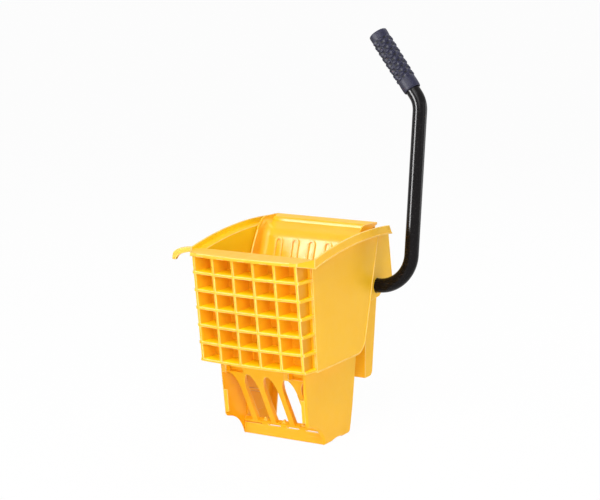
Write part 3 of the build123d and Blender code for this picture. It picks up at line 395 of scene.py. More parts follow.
def place_group(nodes, links, tree, vector, **values):
    """Put a shared effect into a material, with its own values; returns what it gives."""
    group = nodes.new("ShaderNodeGroup")
    group.node_tree = tree
    links.new(vector, group.inputs["Vector"])
    for socket_name, value in values.items():
        socket = group.inputs[socket_name.replace("_", " ")]
        if isinstance(value, float):
            socket.default_value = value
        else:
            links.new(value, socket)
    return group.outputs


def face_mark(nodes, name):
    """A mark that a piece carries on some of its faces or corners."""
    mark = nodes.new("ShaderNodeAttribute")
    mark.attribute_name = name
    return mark.outputs["Fac"]


def add_bump(nodes, links, shader, height, strength, distance):
    """A bump on the shader's normal."""
    bump = nodes.new("ShaderNodeBump")
    bump.inputs["Strength"].default_value = strength
    bump.inputs["Distance"].default_value = distance
    links.new(height, bump.inputs["Height"])
    links.new(bump.outputs["Normal"], shader.inputs["Normal"])


def yellow_plastic(name, rough_low, rough_high, shine):
    """Satin moulding: drifting colour, a fine skin, pale edges from wear and painted highlight, faint
    scuffs, painted light in the cells and on inner walls, and painted shade in the chute, on the legs'
    fronts and in the end pockets.
    """
    material, nodes, links, shader = new_material(name)
    place = own_place(nodes)
    skin = place_group(nodes, links, surface_grain, place,
                       Swell_Scale=70.0, Grain_Scale=1100.0, Grain_Share=0.35)
    wear_and_highlight = place_group(nodes, links, edge_wear_and_highlight, place, Edge=face_mark(nodes, EDGE_MARK), Scale=45.0)
    scuff = place_group(nodes, links, fine_scuff, place, Scale=26.0)
    # Pale rounded edges: partly wear, partly a painted highlight
    pale = combine(nodes, links, "MULTIPLY", wear_and_highlight["Mask"], WEAR_AND_HIGHLIGHT_PALENESS)
    scratched = combine(nodes, links, "MULTIPLY", scuff["Mask"], SCUFF_PALENESS)
    paler = combine(nodes, links, "MAXIMUM", pale, scratched)
    drift = spread(nodes, links, noise(nodes, links, place, scale=9.0, detail=3.0), SWELL_FROM, SWELL_TO)
    color = blend_colors(nodes, links, drift, YELLOW, YELLOW_DEEP)
    # Painted light in the cells and on inner walls, and painted shade in the chute, on the legs' fronts and
    # in the end pockets
    for mark, tone in ((PAINTED_LIGHT_MARK, YELLOW_PAINTED_LIGHT), (PAINTED_SHADE_MARK, AMBER_PAINTED_SHADE), (POCKET_SHADE_MARK, POCKET_PAINTED_SHADE)):
        color = blend_colors(nodes, links, face_mark(nodes, mark), color, tone)
    color = blend_colors(nodes, links, paler, color, YELLOW_WORN_AND_HIGHLIT)
    links.new(color, shader.inputs["Base Color"])
    matt = spread(nodes, links, skin["Mask"], to_low=rough_low, to_high=rough_high)
    links.new(combine(nodes, links, "ADD", matt, scratched), shader.inputs["Roughness"])
    shader.inputs["Specular IOR Level"].default_value = shine
    add_bump(nodes, links, shader, skin["Height"], strength=0.10, distance=0.0012)
    return material


def black_paint():
    """Gloss black coat on steel tube, with orange peel and a few dull scuffs."""
    material, nodes, links, shader = new_material("black_paint")
    place = own_place(nodes)
    peel = place_group(nodes, links, surface_grain, place,
                       Swell_Scale=160.0, Grain_Scale=700.0, Grain_Share=0.3)
    scuff = place_group(nodes, links, fine_scuff, place, Scale=40.0)
    dull = combine(nodes, links, "MULTIPLY", scuff["Mask"], PAINT_DULLNESS)
    links.new(blend_colors(nodes, links, dull, BLACK_PAINT, BLACK_WORN), shader.inputs["Base Color"])
    gloss = spread(nodes, links, peel["Mask"], to_low=0.15, to_high=0.18)
    rougher = combine(nodes, links, "MULTIPLY", dull, PAINT_DULL_ROUGHNESS)
    links.new(combine(nodes, links, "ADD", gloss, rougher), shader.inputs["Roughness"])
    shader.inputs["Specular IOR Level"].default_value = PAINT_SHINE
    add_bump(nodes, links, shader, peel["Height"], strength=0.02, distance=0.0008)
    return material


def soft_finish(name, dark, light, rough_low, rough_high, swell, bump_depth):
    """Grip rubber, bumper rubber and nylon: a mottled matt skin, with painted shade in its pits."""
    material, nodes, links, shader = new_material(name)
    skin = place_group(nodes, links, surface_grain, own_place(nodes),
                       Swell_Scale=swell, Grain_Scale=1300.0, Grain_Share=0.8)
    mottled = blend_colors(nodes, links, skin["Mask"], dark, light)
    # Painted shade in the marked pits
    pit_shaded = blend_colors(nodes, links, face_mark(nodes, PIT_SHADE_MARK), mottled, GRIP_PIT_SHADE)
    links.new(pit_shaded, shader.inputs["Base Color"])
    matt = spread(nodes, links, skin["Mask"], to_low=rough_low, to_high=rough_high)
    links.new(matt, shader.inputs["Roughness"])
    shader.inputs["Specular IOR Level"].default_value = SOFT_SHINE
    add_bump(nodes, links, shader, skin["Height"], strength=0.15, distance=bump_depth)
    return material


def zinc_steel():
    """Zinc plated steel: metal with a faint crystal mottle and brighter rubbed edges."""
    material, nodes, links, shader = new_material("zinc_steel")
    place = own_place(nodes)
    mottle = place_group(nodes, links, surface_grain, place,
                         Swell_Scale=220.0, Grain_Scale=1200.0, Grain_Share=0.5)
    wear_and_highlight = place_group(nodes, links, edge_wear_and_highlight, place, Edge=face_mark(nodes, EDGE_MARK), Scale=90.0)
    tone = combine(nodes, links, "MAXIMUM", mottle["Mask"], wear_and_highlight["Mask"])
    links.new(blend_colors(nodes, links, tone, STEEL_DARK, STEEL_LIGHT), shader.inputs["Base Color"])
    links.new(spread(nodes, links, mottle["Mask"], to_low=0.28, to_high=0.42), shader.inputs["Roughness"])
    shader.inputs["Metallic"].default_value = 1.0
    add_bump(nodes, links, shader, mottle["Height"], strength=0.08, distance=0.0004)
    return material


finishes = {
    "yellow_plastic": yellow_plastic("yellow_plastic", rough_low=0.36, rough_high=0.46, shine=0.16),
    "black_tube": black_paint(),
    "grip_rubber": soft_finish("grip_rubber", GRIP_DARK, GRIP_LIGHT,
                               rough_low=0.48, rough_high=0.58, swell=260.0, bump_depth=0.0006),
    "nylon": soft_finish("nylon", NYLON_DARK, NYLON_LIGHT,
                         rough_low=0.42, rough_high=0.55, swell=180.0, bump_depth=0.0004),
    "steel": zinc_steel(),
    "bumper_rubber": soft_finish("bumper_rubber", RUBBER_DARK, RUBBER_LIGHT,
                                 rough_low=0.62, rough_high=0.75, swell=300.0, bump_depth=0.0006),
}
polished_plastic = yellow_plastic("polished_plastic", rough_low=0.30, rough_high=0.38, shine=0.42)

# The CAD nodes under the pieces get the same finishes
for row in record["subparts"]:
    mesh = frame["nodes"][row["node"]].data
    mesh.materials.clear()
    mesh.materials.append(finishes[row["material_slot"]])


# Pieces and their edges

def add_piece(name, shape, node, rides=True):
    """Turn a shape into an object that stands for a CAD node and, unless it bends, rides on its body."""
    for face in shape.faces:
        face.smooth = True
    for edge in shape.edges:
        edge.smooth = not edge.is_manifold or edge.calc_face_angle() < SMOOTH
    mesh = bpy.data.meshes.new(name)
    shape.to_mesh(mesh)
    shape.free()
    slot = slot_of[node]
    mesh.materials.append(finishes[slot])
    piece = bpy.data.objects.new(name, mesh)
    scene.collection.objects.link(piece)
    even = piece.modifiers.new("even_shading", "WEIGHTED_NORMAL")
    even.keep_sharp = True
    if rides:
        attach(piece, body_of[node])
    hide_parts(node)
    return piece


def node_shape(node):
    """A merged copy of a CAD node's mesh, with its flat faces whole."""
    shape = bmesh.new()
    shape.from_mesh(frame["nodes"][node].data)
    bmesh.ops.remove_doubles(shape, verts=shape.verts, dist=MERGE)
    bmesh.ops.dissolve_limit(shape, angle_limit=FLAT, verts=shape.verts, edges=shape.edges)
    return shape


def close_ends(shape):
    """Fill a shape's open ends and turn its faces outwards."""
    open_edges = [edge for edge in shape.edges if edge.is_boundary]
    bmesh.ops.holes_fill(shape, edges=open_edges, sides=0)
    bmesh.ops.recalc_face_normals(shape, faces=shape.faces)


def sharp_edges(shape):
    """The edges of a shape where two faces meet at a clear angle."""
    return [edge for edge in shape.edges if edge.is_manifold and edge.calc_face_angle() > SHARP]


def outer_corners(shape):
    """The sharp edges of a shape that stand out."""
    return [edge for edge in sharp_edges(shape) if edge.is_convex]


def outer_chute_edges(shape):
    """The sharp edges of a chute wall on its outside."""
    least = CHUTE_OUT - MERGE
    return [edge for edge in sharp_edges(shape) if all(abs(vert.co.x) > least for vert in edge.verts)]


def stands_out(face):
    """Whether a face is bent outwards from the faces beside it."""
    return sum(edge.calc_face_angle_signed(0.0) * edge.calc_length() for edge in face.edges) > 0.0


def curve_edges(shape, edges, radius, segments):
    """Round some edges of a shape and return the strips that take their place."""
    strips = bmesh.ops.bevel(
        shape, geom=edges, offset=radius, offset_type="OFFSET", segments=segments, profile=0.5,
        affect="EDGES", material=-1, clamp_overlap=False,
    )
    return strips["faces"]


def round_edges(shape, edges, radius, segments=2):
    """Round some edges of a shape and mark the strips that stand out, which the finishes make pale for wear
    and as a painted highlight.
    """
    mark = shape.faces.layers.float.get(EDGE_MARK) or shape.faces.layers.float.new(EDGE_MARK)
    strips = curve_edges(shape, edges, radius, segments)
    shape.normal_update()
    for face in strips:
        face[mark] = 1.0 if stands_out(face) else 0.0


def folded_faces(shape):
    """Faces that overlap themselves, known by a triangle that faces the other way."""
    shape.normal_update()
    folded = []
    for corners in shape.calc_loop_triangles():
        first, second, third = (corner.vert.co for corner in corners)
        if (second - first).cross(third - first).dot(corners[0].face.normal) < -FOLD:
            folded.append(corners[0].face)
    return folded


def gap(point, start, end):
    """Distance of a point from a straight run."""
    share = intersect_point_line(point, start, end)[1]
    return (point - start.lerp(end, min(max(share, 0.0), 1.0))).length


def cramped_edges(face, radius):
    """Edges of a face with an opposite edge of it too near for both to be rounded."""
    runs = [(loop.edge, loop.vert.co, loop.link_loop_next.vert.co) for loop in face.loops]
    cramped = set()
    for edge, start, end in runs:
        for _, far_start, far_end in runs:
            if (end - start).normalized().dot((far_end - far_start).normalized()) < OPPOSITE:
                nearest = min(gap(start, far_start, far_end), gap(end, far_start, far_end),
                              gap(far_start, start, end), gap(far_end, start, end))
                if nearest < ROOM * radius:
                    cramped.add(edge.index)
    return cramped


def rounded_shape(prepare, radius, segments=2, wanted=sharp_edges):
    """A fresh shape with its wanted edges rounded, apart from those that have no room for it."""
    spared = set()
    while True:
        shape = prepare()
        source = shape.faces.layers.int.new(SOURCE_MARK)
        for face in shape.faces:
            face[source] = face.index
        round_edges(shape, [edge for edge in wanted(shape) if edge.index not in spared], radius, segments)
        folded = {face[source] for face in folded_faces(shape)}
        plain = prepare()
        plain.faces.ensure_lookup_table()
        tight = set()
        for face in (plain.faces[index] for index in folded):
            tight |= cramped_edges(face, radius) - spared or {edge.index for edge in face.edges}
        plain.free()
        if tight <= spared:
            shape.faces.layers.int.remove(source)
            return shape
        spared |= tight


# Tones of painted light and shade: each says a face's share, from the face and its middle

def mark_faces(shape, name, share):
    """Give each face that is not a marked rounded edge its share of a tone of painted light and shade."""
    edge = shape.faces.layers.float.get(EDGE_MARK)
    mark = shape.faces.layers.float.new(name)
    for face in shape.faces:
        if face[edge] == 0.0:
            face[mark] = share(face, face.calc_center_median())


def looks_inwards(face, middle):
    """Whether a face looks towards the middle plane."""
    return face.normal.x * middle.x < -LOOKING * abs(middle.x)


def looks_outwards(face, middle):
    """Whether a face looks away from the middle plane."""
    return face.normal.x * middle.x > LOOKING * abs(middle.x)


def inside_painted_light(face, middle):
    """Painted light: the inner sides of the basket's walls are painted brighter and yellower."""
    return INSIDE_PAINTED_LIGHT if looks_inwards(face, middle) else 0.0


def chute_painted_shade(face, middle):
    """Painted shade: the inner sides of the chute's walls get a deep shaded tone."""
    return 1.0 if looks_inwards(face, middle) else 0.0


def slot_painted_shade(face, middle):
    """Painted shade: the sides of the grate's slots get all of the deep shaded tone, and the rest of the
    grate some of it.
    """
    return 1.0 if abs(face.normal.x) > SLOT_SIDE_LOOKING else GRATE_PAINTED_SHADE


def leg_painted_shade(face, middle):
    """Painted shade: the fronts of the legs, behind the chute, get the deep shaded tone."""
    return 1.0 if face.normal.y < -LOOKING and middle.z < LEG_SHADE_Z else 0.0


def cell_painted_light(face, middle):
    """Painted light in the cells behind the ribs: all of it on their floors and some on their walls."""
    front_y = CRATE_FRONT_Y - (middle.z - CRATE_MIDDLE_Z) * math.tan(CRATE_LEAN)
    if middle.z > CRATE_TOP_Z or middle.y < front_y + CRATE_ROUND or face.normal.y > LOOKING:
        return 0.0
    return 1.0 if face.normal.z > CELL_FLOOR_LOOKING else CELL_WALL_PAINTED_LIGHT


def pocket_painted_shade(face, middle):
    """Painted shade: the shallow pockets at the ends of the crate get the deepest shaded tone."""
    return 1.0 if looks_outwards(face, middle) and POCKET_IN < abs(middle.x) < POCKET_OUT else 0.0


# Basket, chute, brackets and plate

def rounded_piece(node, radius, name):
    """A CAD node with rounded edges."""
    add_piece(name, rounded_shape(lambda: node_shape(node), radius), node)


def side_wall(side):
    """One side of the basket with its rim."""
    node = f"{side}_side_panel"
    shape = rounded_shape(lambda: node_shape(node), PANEL_ROUND)
    # Painted light on the wall's inner side
    mark_faces(shape, PAINTED_LIGHT_MARK, inside_painted_light)
    add_piece(f"{side}_wall_and_rim", shape, node)


def chute_side(side):
    """One chute wall: a bold round along its outer edges, not painted pale, a small one on the rest, and
    painted shade on its inner side.
    """
    node = f"{side}_chute_wall"

    def bold_outside():
        shape = rounded_shape(
            lambda: node_shape(node), CHUTE_EDGE_ROUND, segments=4, wanted=outer_chute_edges)
        mark = shape.faces.layers.float[EDGE_MARK]
        for face in shape.faces:
            face[mark] = 0.0
        return shape

    shape = rounded_shape(bold_outside, CHUTE_SMALL_ROUND)
    # Painted shade on the wall's inner side
    mark_faces(shape, PAINTED_SHADE_MARK, chute_painted_shade)
    add_piece(f"{side}_chute_side", shape, node)


def wing_and_leg(side):
    """One rear bracket."""
    node = f"{side}_bracket"
    shape = rounded_shape(lambda: node_shape(node), BRACKET_ROUND)
    # Painted shade on the legs' fronts
    mark_faces(shape, PAINTED_SHADE_MARK, leg_painted_shade)
    add_piece(f"{side}_rear_bracket", shape, node)


def ribbed_front():
    """The front panel: rounded ribs, painted light in the cells and painted shade in the pockets at the
    ends.
    """
    shape = rounded_shape(lambda: node_shape("front_panel"), CRATE_ROUND, segments=3)
    # Painted light in the cells
    mark_faces(shape, PAINTED_LIGHT_MARK, cell_painted_light)
    # Painted shade in the end pockets
    mark_faces(shape, POCKET_SHADE_MARK, pocket_painted_shade)
    add_piece("ribbed_front", shape, "front_panel")


def grate_with_lip():
    """The grate with its foot lip a little taller, so that its rounded top is as high as a sharp one."""
    shape = node_shape("chute_grate")
    top = [vert for vert in shape.verts if abs(vert.co.z - LIP_TOP_Z) < MERGE]
    bmesh.ops.translate(shape, verts=top, vec=(0.0, 0.0, LIP_RISE))
    return shape


def slotted_grate():
    """The sloping grate of the chute with its foot lip."""
    shape = rounded_shape(grate_with_lip, GRATE_ROUND)
    # Painted shade on the grate, deepest on its slot sides
    mark_faces(shape, PAINTED_SHADE_MARK, slot_painted_shade)
    add_piece("grate_and_lip", shape, "chute_grate")


def coved_plate():
    """The press plate with a wide cove between its face and each end cheek."""
    shape = node_shape("press_plate")
    for height in (COVE_FOOT_Z, COVE_HEAD_Z):
        everything = list(shape.verts) + list(shape.edges) + list(shape.faces)
        bmesh.ops.bisect_plane(
            shape, geom=everything, dist=MERGE, plane_co=(0.0, 0.0, height), plane_no=(0.0, 0.0, 1.0))
    corners = []
    for edge in sharp_edges(shape):
        beside_cheek = all(abs(abs(vert.co.x) - CHEEK_IN) < MERGE for vert in edge.verts)
        at_face = all(COVE_FOOT_Z - MERGE < vert.co.z < COVE_HEAD_Z + MERGE for vert in edge.verts)
        if beside_cheek and at_face and not edge.is_convex:
            corners.append(edge)
    curve_edges(shape, corners, COVE, segments=8)
    return shape


def pressing_plate():
    """The coved press plate with rounded loops and soft edges."""
    shape = rounded_shape(coved_plate, PLATE_ROUND, segments=3, wanted=outer_corners)
    plate = add_piece("pressing_plate", shape, "press_plate")
    plate.data.materials[0] = polished_plastic


# Screws, end cap and hook

def is_disc(face):
    """Whether a face is a plain round disc, with no hole in it."""
    middle = face.calc_center_median()
    reaches = [(vert.co - middle).length for vert in face.verts]
    return len(reaches) > DISC_CORNERS and max(reaches) - min(reaches) < DISC_SPREAD


def socket_screws(node, name):
    """Screws on the node's own places, each with a hexagon socket in its head."""
    shape = node_shape(node)
    for head in [face for face in shape.faces if face.calc_area() > HEAD_AREA and is_disc(face)]:
        middle = head.calc_center_median()
        across = head.normal.orthogonal().normalized()
        along = head.normal.cross(across)
        reach = (head.verts[0].co - middle).length
        bmesh.ops.inset_individual(shape, faces=[head], thickness=reach - SOCKET_FLAT)
        for vert in head.verts:
            way = (vert.co - middle).normalized()
            turn = math.atan2(way.dot(along), way.dot(across)) % HEX_TURN - HEX_TURN / 2
            vert.co = middle + way * SOCKET_FLAT / math.cos(turn)
        bmesh.ops.inset_individual(shape, faces=[head], thickness=MERGE, depth=-SOCKET_DEPTH)
    add_piece(name, shape, node)


def dished_cap():
    """The axle's end cap: a rim round a shallow dish."""
    shape = node_shape("axle_end_cap")
    ends = [face for face in shape.faces if face.normal.x < -CAP_END_LOOKING]
    outside = min(ends, key=lambda face: face.calc_center_median().x)
    bmesh.ops.inset_individual(shape, faces=[outside], thickness=CAP_RIM)
    bmesh.ops.inset_individual(shape, faces=[outside], thickness=CAP_DISH, depth=-CAP_DISH)
    round_edges(shape, sharp_edges(shape), CAP_ROUND)
    add_piece("axle_cap", shape, "axle_end_cap")


def rim_hook():
    """The hook: one face carried along the bend from its root to its tip, with rounded edges."""
    shape = bmesh.new()
    (top_x, top_z), (under_x, under_z) = HOOK_SECTIONS[0]
    corners = [shape.verts.new(place) for place in (
        (top_x, HOOK_FRONT_Y, top_z), (top_x, HOOK_REAR_Y, top_z),
        (under_x, HOOK_REAR_Y, under_z), (under_x, HOOK_FRONT_Y, under_z))]
    section = shape.faces.new(corners)
    for top, under in HOOK_SECTIONS[1:]:
        grown = bmesh.ops.extrude_discrete_faces(shape, faces=[section])
        section = grown["faces"][0]
        for vert, (x, z) in zip(section.verts, (top, top, under, under)):
            vert.co.x = x
            vert.co.z = z
    close_ends(shape)
    round_edges(shape, sharp_edges(shape), HOOK_ROUND, segments=3)
    add_piece("rim_hook", shape, "bucket_hook")


# Handle, grip and spring

def handle_frame():
    """Matrix from the handle's own plane to the part."""
    along = Vector((1.0, 0.0, 0.0))
    up = Vector((0.0, math.sin(HANDLE_LEAN), math.cos(HANDLE_LEAN)))
    front = along.cross(up)
    turn = Matrix((along, up, front)).transposed().to_4x4()
    return Matrix.Translation(AXLE) @ turn


def edges_among(items):
    """The edges in a list of mixed parts of a shape."""
    return [item for item in items if isinstance(item, bmesh.types.BMEdge)]


def extrude_ring(shape, ring, move):
    """Carry an open ring of edges along by a vector and return the new ring."""
    grown = bmesh.ops.extrude_edge_only(shape, edges=ring)
    moved = [item for item in grown["geom"] if isinstance(item, bmesh.types.BMVert)]
    bmesh.ops.translate(shape, verts=moved, vec=move)
    return [edge for edge in edges_among(grown["geom"]) if all(vert in moved for vert in edge.verts)]


def bend_ring(shape, ring, center, angle):
    """Turn an open ring of edges round a bend's centre and return the last ring."""
    turned = bmesh.ops.spin(
        shape, geom=ring, cent=center, axis=(0.0, 0.0, 1.0), angle=angle, steps=BEND_STEPS, use_merge=False)
    return edges_among(turned["geom_last"])


def handle_tube():
    """The bent tube: axle run, lower bend, upright run, upper bend and the run inside the grip."""
    shape = bmesh.new()
    lower_x = HANDLE_OUT - HANDLE_BEND_R
    upper_cut = GRIP_BEND_R * math.tan(GRIP_TILT / 2)
    start = Matrix.Translation((AXLE_LEFT_END, 0.0, 0.0)) @ Matrix.Rotation(math.pi / 2, 4, "Y")
    bmesh.ops.create_circle(shape, segments=TUBE_SIDES, radius=TUBE_R, matrix=start)
    ring = extrude_ring(shape, shape.edges[:], (lower_x - AXLE_LEFT_END, 0.0, 0.0))
    ring = bend_ring(shape, ring, (lower_x, HANDLE_BEND_R, 0.0), math.pi / 2)
    ring = extrude_ring(shape, ring, (0.0, HANDLE_RISE - upper_cut - HANDLE_BEND_R, 0.0))
    ring = bend_ring(shape, ring, (HANDLE_OUT - GRIP_BEND_R, HANDLE_RISE - upper_cut, 0.0), GRIP_TILT)
    extrude_ring(shape, ring, GRIP_WAY * (GRIP_START + GRIP_LENGTH - GRIP_CAP - upper_cut))
    bmesh.ops.recalc_face_normals(shape, faces=shape.faces)
    bmesh.ops.solidify(shape, geom=shape.faces, thickness=TUBE_WALL)
    bmesh.ops.transform(shape, matrix=handle_frame(), verts=shape.verts)
    add_piece("bent_tube", shape, "handle_tube")


def grip_outline(pad_height):
    """Radius and height at each corner of the grip's outline: out along the bore, then up the sleeve."""
    end = GRIP_LENGTH - GRIP_END_SHORT
    halfway = GRIP_END_ROUND / 4  # how far the rounded end has come in where its curve is half done
    bore = [(GRIP_BORE_R, GRIP_LENGTH - GRIP_CAP), (GRIP_BORE_R, 0.0)]
    sleeve = [(GRIP_R - GRIP_MOUTH_ROUND, 0.0), (GRIP_R, GRIP_MOUTH_ROUND)]
    sleeve += [(GRIP_R, GRIP_PADS_START - GRIP_BAND_STEP)]
    sleeve += [(GRIP_WAIST_R, GRIP_PADS_START + pad_height * row) for row in range(GRIP_PAD_ROWS + 1)]
    sleeve += [(GRIP_R, GRIP_PADS_END + GRIP_BAND_STEP), (GRIP_R, end - GRIP_END_ROUND)]
    sleeve += [(GRIP_R - halfway, end - halfway), (GRIP_R - GRIP_END_ROUND, end)]
    sleeve += [(GRIP_R - GRIP_END_FLAT, end)]
    taper = GRIP_TAPER / GRIP_LENGTH
    return bore + [(radius * (1.0 + taper * height), height) for radius, height in sleeve]


def grip_sleeve():
    """The moulded grip: a lathed sleeve with a rounded end, and pads and pits by turns round its middle."""
    shape = bmesh.new()
    pad_height = (GRIP_PADS_END - GRIP_PADS_START) / GRIP_PAD_ROWS
    pad_turn = math.pi / GRIP_PADS_ROUND
    outline = grip_outline(pad_height)
    corners = [shape.verts.new((radius * GRIP_SPARE, 0.0, height)) for radius, height in outline]
    line = [shape.edges.new(pair) for pair in zip(corners, corners[1:])]
    bmesh.ops.spin(
        shape, geom=line + corners, cent=(0.0, 0.0, 0.0), axis=(0.0, 0.0, 1.0), angle=2 * math.pi,
        steps=2 * GRIP_PADS_ROUND, use_merge=True,
    )
    bmesh.ops.remove_doubles(shape, verts=shape.verts, dist=MERGE)
    close_ends(shape)
    pads = []
    pits = []
    for face in shape.faces:
        middle = face.calc_center_median()
        row = math.floor((middle.z - GRIP_PADS_START) / pad_height)
        column = math.floor(math.atan2(middle.y, middle.x) / pad_turn)
        if GRIP_PADS_START < middle.z < GRIP_PADS_END and face.normal.xy.dot(middle.xy) > 0:
            kind = pits if (row + column) % 2 else pads
            kind.append(face)
    for faces, width, rise in (
        (pads, GRIP_PAD_GROOVE, GRIP_PAD_RISE),
        (pads, GRIP_PAD_FLAT, 0.0),
        (pits, GRIP_PIT_IN, -GRIP_PIT_DROP),
    ):
        bmesh.ops.inset_individual(shape, faces=faces, thickness=width, depth=rise, use_even_offset=True)
    # Mark the pits for painted shade
    painted_pit_shade = shape.verts.layers.float.new(PIT_SHADE_MARK)
    for pit in pits:
        for vert in pit.verts:
            vert[painted_pit_shade] = 1.0
    base = Vector((HANDLE_OUT, HANDLE_RISE, 0.0)) + GRIP_WAY * GRIP_START
    turn = GRIP_WAY.to_track_quat("Z", "Y").to_matrix().to_4x4()
    stand = handle_frame() @ Matrix.Translation(base) @ turn
    bmesh.ops.transform(shape, matrix=stand, verts=shape.verts)
    piece = add_piece("padded_grip", shape, "grip")
    round_pads = piece.modifiers.new("round_pads", "SUBSURF")
    round_pads.levels = GRIP_ROUNDINGS
    round_pads.render_levels = GRIP_ROUNDINGS


def coil_spring():
    """The return spring: a coil round the axle, a straight leg to the cross bar, a hook to the crank."""
    shape = bmesh.new()
    end_x = SPRING_START_X + SPRING_TURNS * SPRING_PITCH
    start = Matrix.Translation((SPRING_START_X, AXLE.y - SPRING_R, AXLE.z))
    bmesh.ops.create_circle(shape, segments=SPRING_SIDES, radius=SPRING_WIRE_R, matrix=start)
    first_ring = shape.edges[:]
    coil = bmesh.ops.spin(
        shape, geom=first_ring, cent=AXLE, axis=(-1.0, 0.0, 0.0), angle=2 * math.pi * SPRING_TURNS,
        steps=SPRING_TURNS * SPRING_STEPS, dvec=(SPRING_PITCH / SPRING_STEPS, 0.0, 0.0), use_merge=False,
    )
    last_ring = edges_among(coil["geom_last"])
    extrude_ring(shape, first_ring, (0.0, 0.0, SPRING_FOOT_Z - AXLE.z))
    hook_ring = extrude_ring(shape, last_ring, (0.0, SPRING_R - SPRING_HOOK_REACH, SPRING_HOOK_RISE))
    extrude_ring(shape, hook_ring, (SPRING_HOOK_END_X - end_x, 0.0, 0.0))
    close_ends(shape)
    piece = add_piece("coil_spring", shape, "return_spring", rides=False)
    coil_start = (SPRING_START_X + SPRING_WIRE_R, AXLE.y, AXLE.z)
    coil_end = (end_x - SPRING_WIRE_R, AXLE.y, AXLE.z)
    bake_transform(piece, "basket", "handle", start=coil_start, end=coil_end)


for side in ("left", "right"):
    side_wall(side)
    chute_side(side)
    wing_and_leg(side)
    rounded_piece(f"{side}_push_rail", BRACKET_ROUND, f"{side}_rail")
    rounded_piece(f"{side}_crank_arm", STEEL_ROUND, f"{side}_crank")
    rounded_piece(f"{side}_axle_bush", STEEL_ROUND, f"{side}_bush")
    socket_screws(f"{side}_bracket_screws", f"{side}_wing_screws")
ribbed_front()
slotted_grate()
rounded_piece("cross_bar", BRACKET_ROUND, "leg_cross_bar")
rounded_piece("rest_bumpers", BUMPER_ROUND, "bumper_blocks")
rounded_piece("hinge_rod", STEEL_ROUND, "hinge_pin")
rounded_piece("press_bar", STEEL_ROUND, "pushing_bar")
rounded_piece("crank_pins", STEEL_ROUND, "cross_pins")
rounded_piece("shaft_collar", STEEL_ROUND, "axle_collar")
rounded_piece("thrust_washers", STEEL_ROUND, "washers")
pressing_plate()
socket_screws("rail_screws", "rail_fixings")
dished_cap()
rim_hook()
handle_tube()
grip_sleeve()
coil_spring()


# Floor, light and camera

def seen_or_mirrored(nodes, links):
    """1 where a ray comes from the camera, a gloss or a clear surface, else 0."""
    ray = nodes.new("ShaderNodeLightPath").outputs
    mirrored = combine(nodes, links, "MAXIMUM", ray["Is Glossy Ray"], ray["Is Transmission Ray"])
    return combine(nodes, links, "MAXIMUM", ray["Is Camera Ray"], mirrored)


def pale_floor():
    """A wide floor that looks nearly white and keeps the shadow."""
    shape = bmesh.new()
    bmesh.ops.create_grid(shape, x_segments=1, y_segments=1, size=FLOOR_REACH)
    mesh = bpy.data.meshes.new("floor")
    shape.to_mesh(mesh)
    shape.free()
    floor = bpy.data.objects.new("floor", mesh)
    scene.collection.objects.link(floor)
    material, nodes, links, shader = new_material("floor_white")
    shader.inputs["Base Color"].default_value = (*FLOOR_WHITE, 1.0)
    shader.inputs["Roughness"].default_value = FLOOR_ROUGHNESS
    glow = nodes.new("ShaderNodeEmission")
    glow.inputs["Color"].default_value = (*WHITE, 1.0)
    lit_floor = nodes.new("ShaderNodeMixShader")
    share = combine(nodes, links, "MULTIPLY", seen_or_mirrored(nodes, links), GLOW_SHARE)
    links.new(share, lit_floor.inputs["Fac"])
    links.new(shader.outputs["BSDF"], lit_floor.inputs[1])
    links.new(glow.outputs["Emission"], lit_floor.inputs[2])
    links.new(lit_floor.outputs["Shader"], nodes["Material Output"].inputs["Surface"])
    mesh.materials.append(material)


def studio_world():
    """A white background that gives only a little light."""
    world = bpy.data.worlds.new("studio")
    world.use_nodes = True
    scene.world = world
    nodes = world.node_tree.nodes
    links = world.node_tree.links
    background = nodes["Background"]
    background.inputs["Color"].default_value = (*WHITE, 1.0)
    white_seen = combine(nodes, links, "MULTIPLY", seen_or_mirrored(nodes, links), 1.0 - WORLD_LIGHT)
    links.new(combine(nodes, links, "ADD", white_seen, WORLD_LIGHT), background.inputs["Strength"])


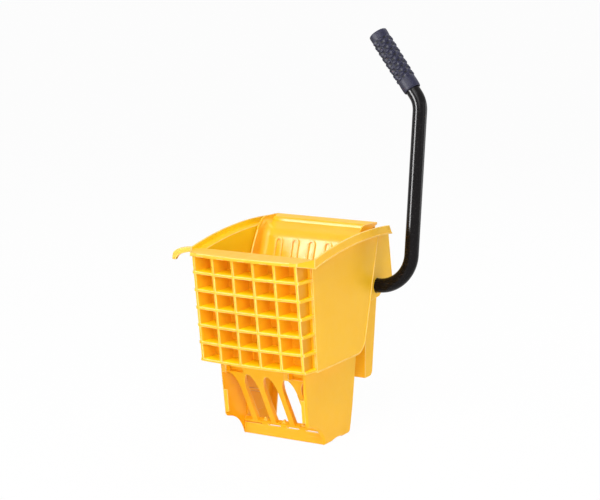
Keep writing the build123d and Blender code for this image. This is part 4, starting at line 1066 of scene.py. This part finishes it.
def soft_lamp(name, place, target, size, power):
    """A square area lamp aimed at a point."""
    lamp = bpy.data.lights.new(name, "AREA")
    lamp.size = size
    lamp.energy = power
    holder = bpy.data.objects.new(name, lamp)
    holder.location = place
    holder.rotation_euler = (Vector(target) - Vector(place)).to_track_quat("-Z", "Y").to_euler()
    scene.collection.objects.link(holder)
    return holder


pale_floor()
studio_world()
eye_side = soft_lamp("eye_side", place=(1.50, -2.50, 0.95), target=BASKET_MIDDLE, size=1.8, power=29.0)
eye_side.visible_glossy = False
soft_lamp("front_high", place=(0.90, -2.20, 1.70), target=BASKET_MIDDLE, size=1.2, power=14.0)
soft_lamp("left_high", place=(0.10, -2.00, 2.20), target=BASKET_MIDDLE, size=1.2, power=30.0)
soft_lamp("top", place=(0.60, -1.30, 2.50), target=BASKET_MIDDLE, size=1.2, power=20.0)
soft_lamp("right", place=(2.60, 0.20, 1.00), target=BASKET_MIDDLE, size=1.2, power=5.0)
soft_lamp("rear", place=(0.00, 1.80, 2.40), target=BASKET_MIDDLE, size=1.6, power=26.0)
soft_lamp("back_right", place=(1.90, 2.00, 0.50), target=CHUTE_MIDDLE, size=1.2, power=15.0)

# A tall softbox that only shows as a streak in glossy surfaces
gloss_box = soft_lamp(
    "gloss_box", place=(-1.22, -1.88, 0.68), target=HANDLE_MIDDLE, size=GLOSS_BOX_WIDTH, power=120.0)
gloss_box.data.shape = "RECTANGLE"
gloss_box.data.size_y = GLOSS_BOX_HEIGHT
gloss_box.visible_diffuse = False

camera_data = bpy.data.cameras.new("camera")
camera_data.lens = CAMERA_LENS
camera_data.sensor_width = SENSOR_WIDTH
camera = bpy.data.objects.new("camera", camera_data)
camera.location = CAMERA_PLACE
camera.rotation_euler = (math.pi / 2 - CAMERA_PITCH, 0.0, CAMERA_YAW)
scene.collection.objects.link(camera)
scene.camera = camera
scene.cycles.diffuse_bounces = LIGHT_BOUNCES
scene.cycles.max_bounces = LIGHT_BOUNCES
scene.view_settings.view_transform = "Standard"
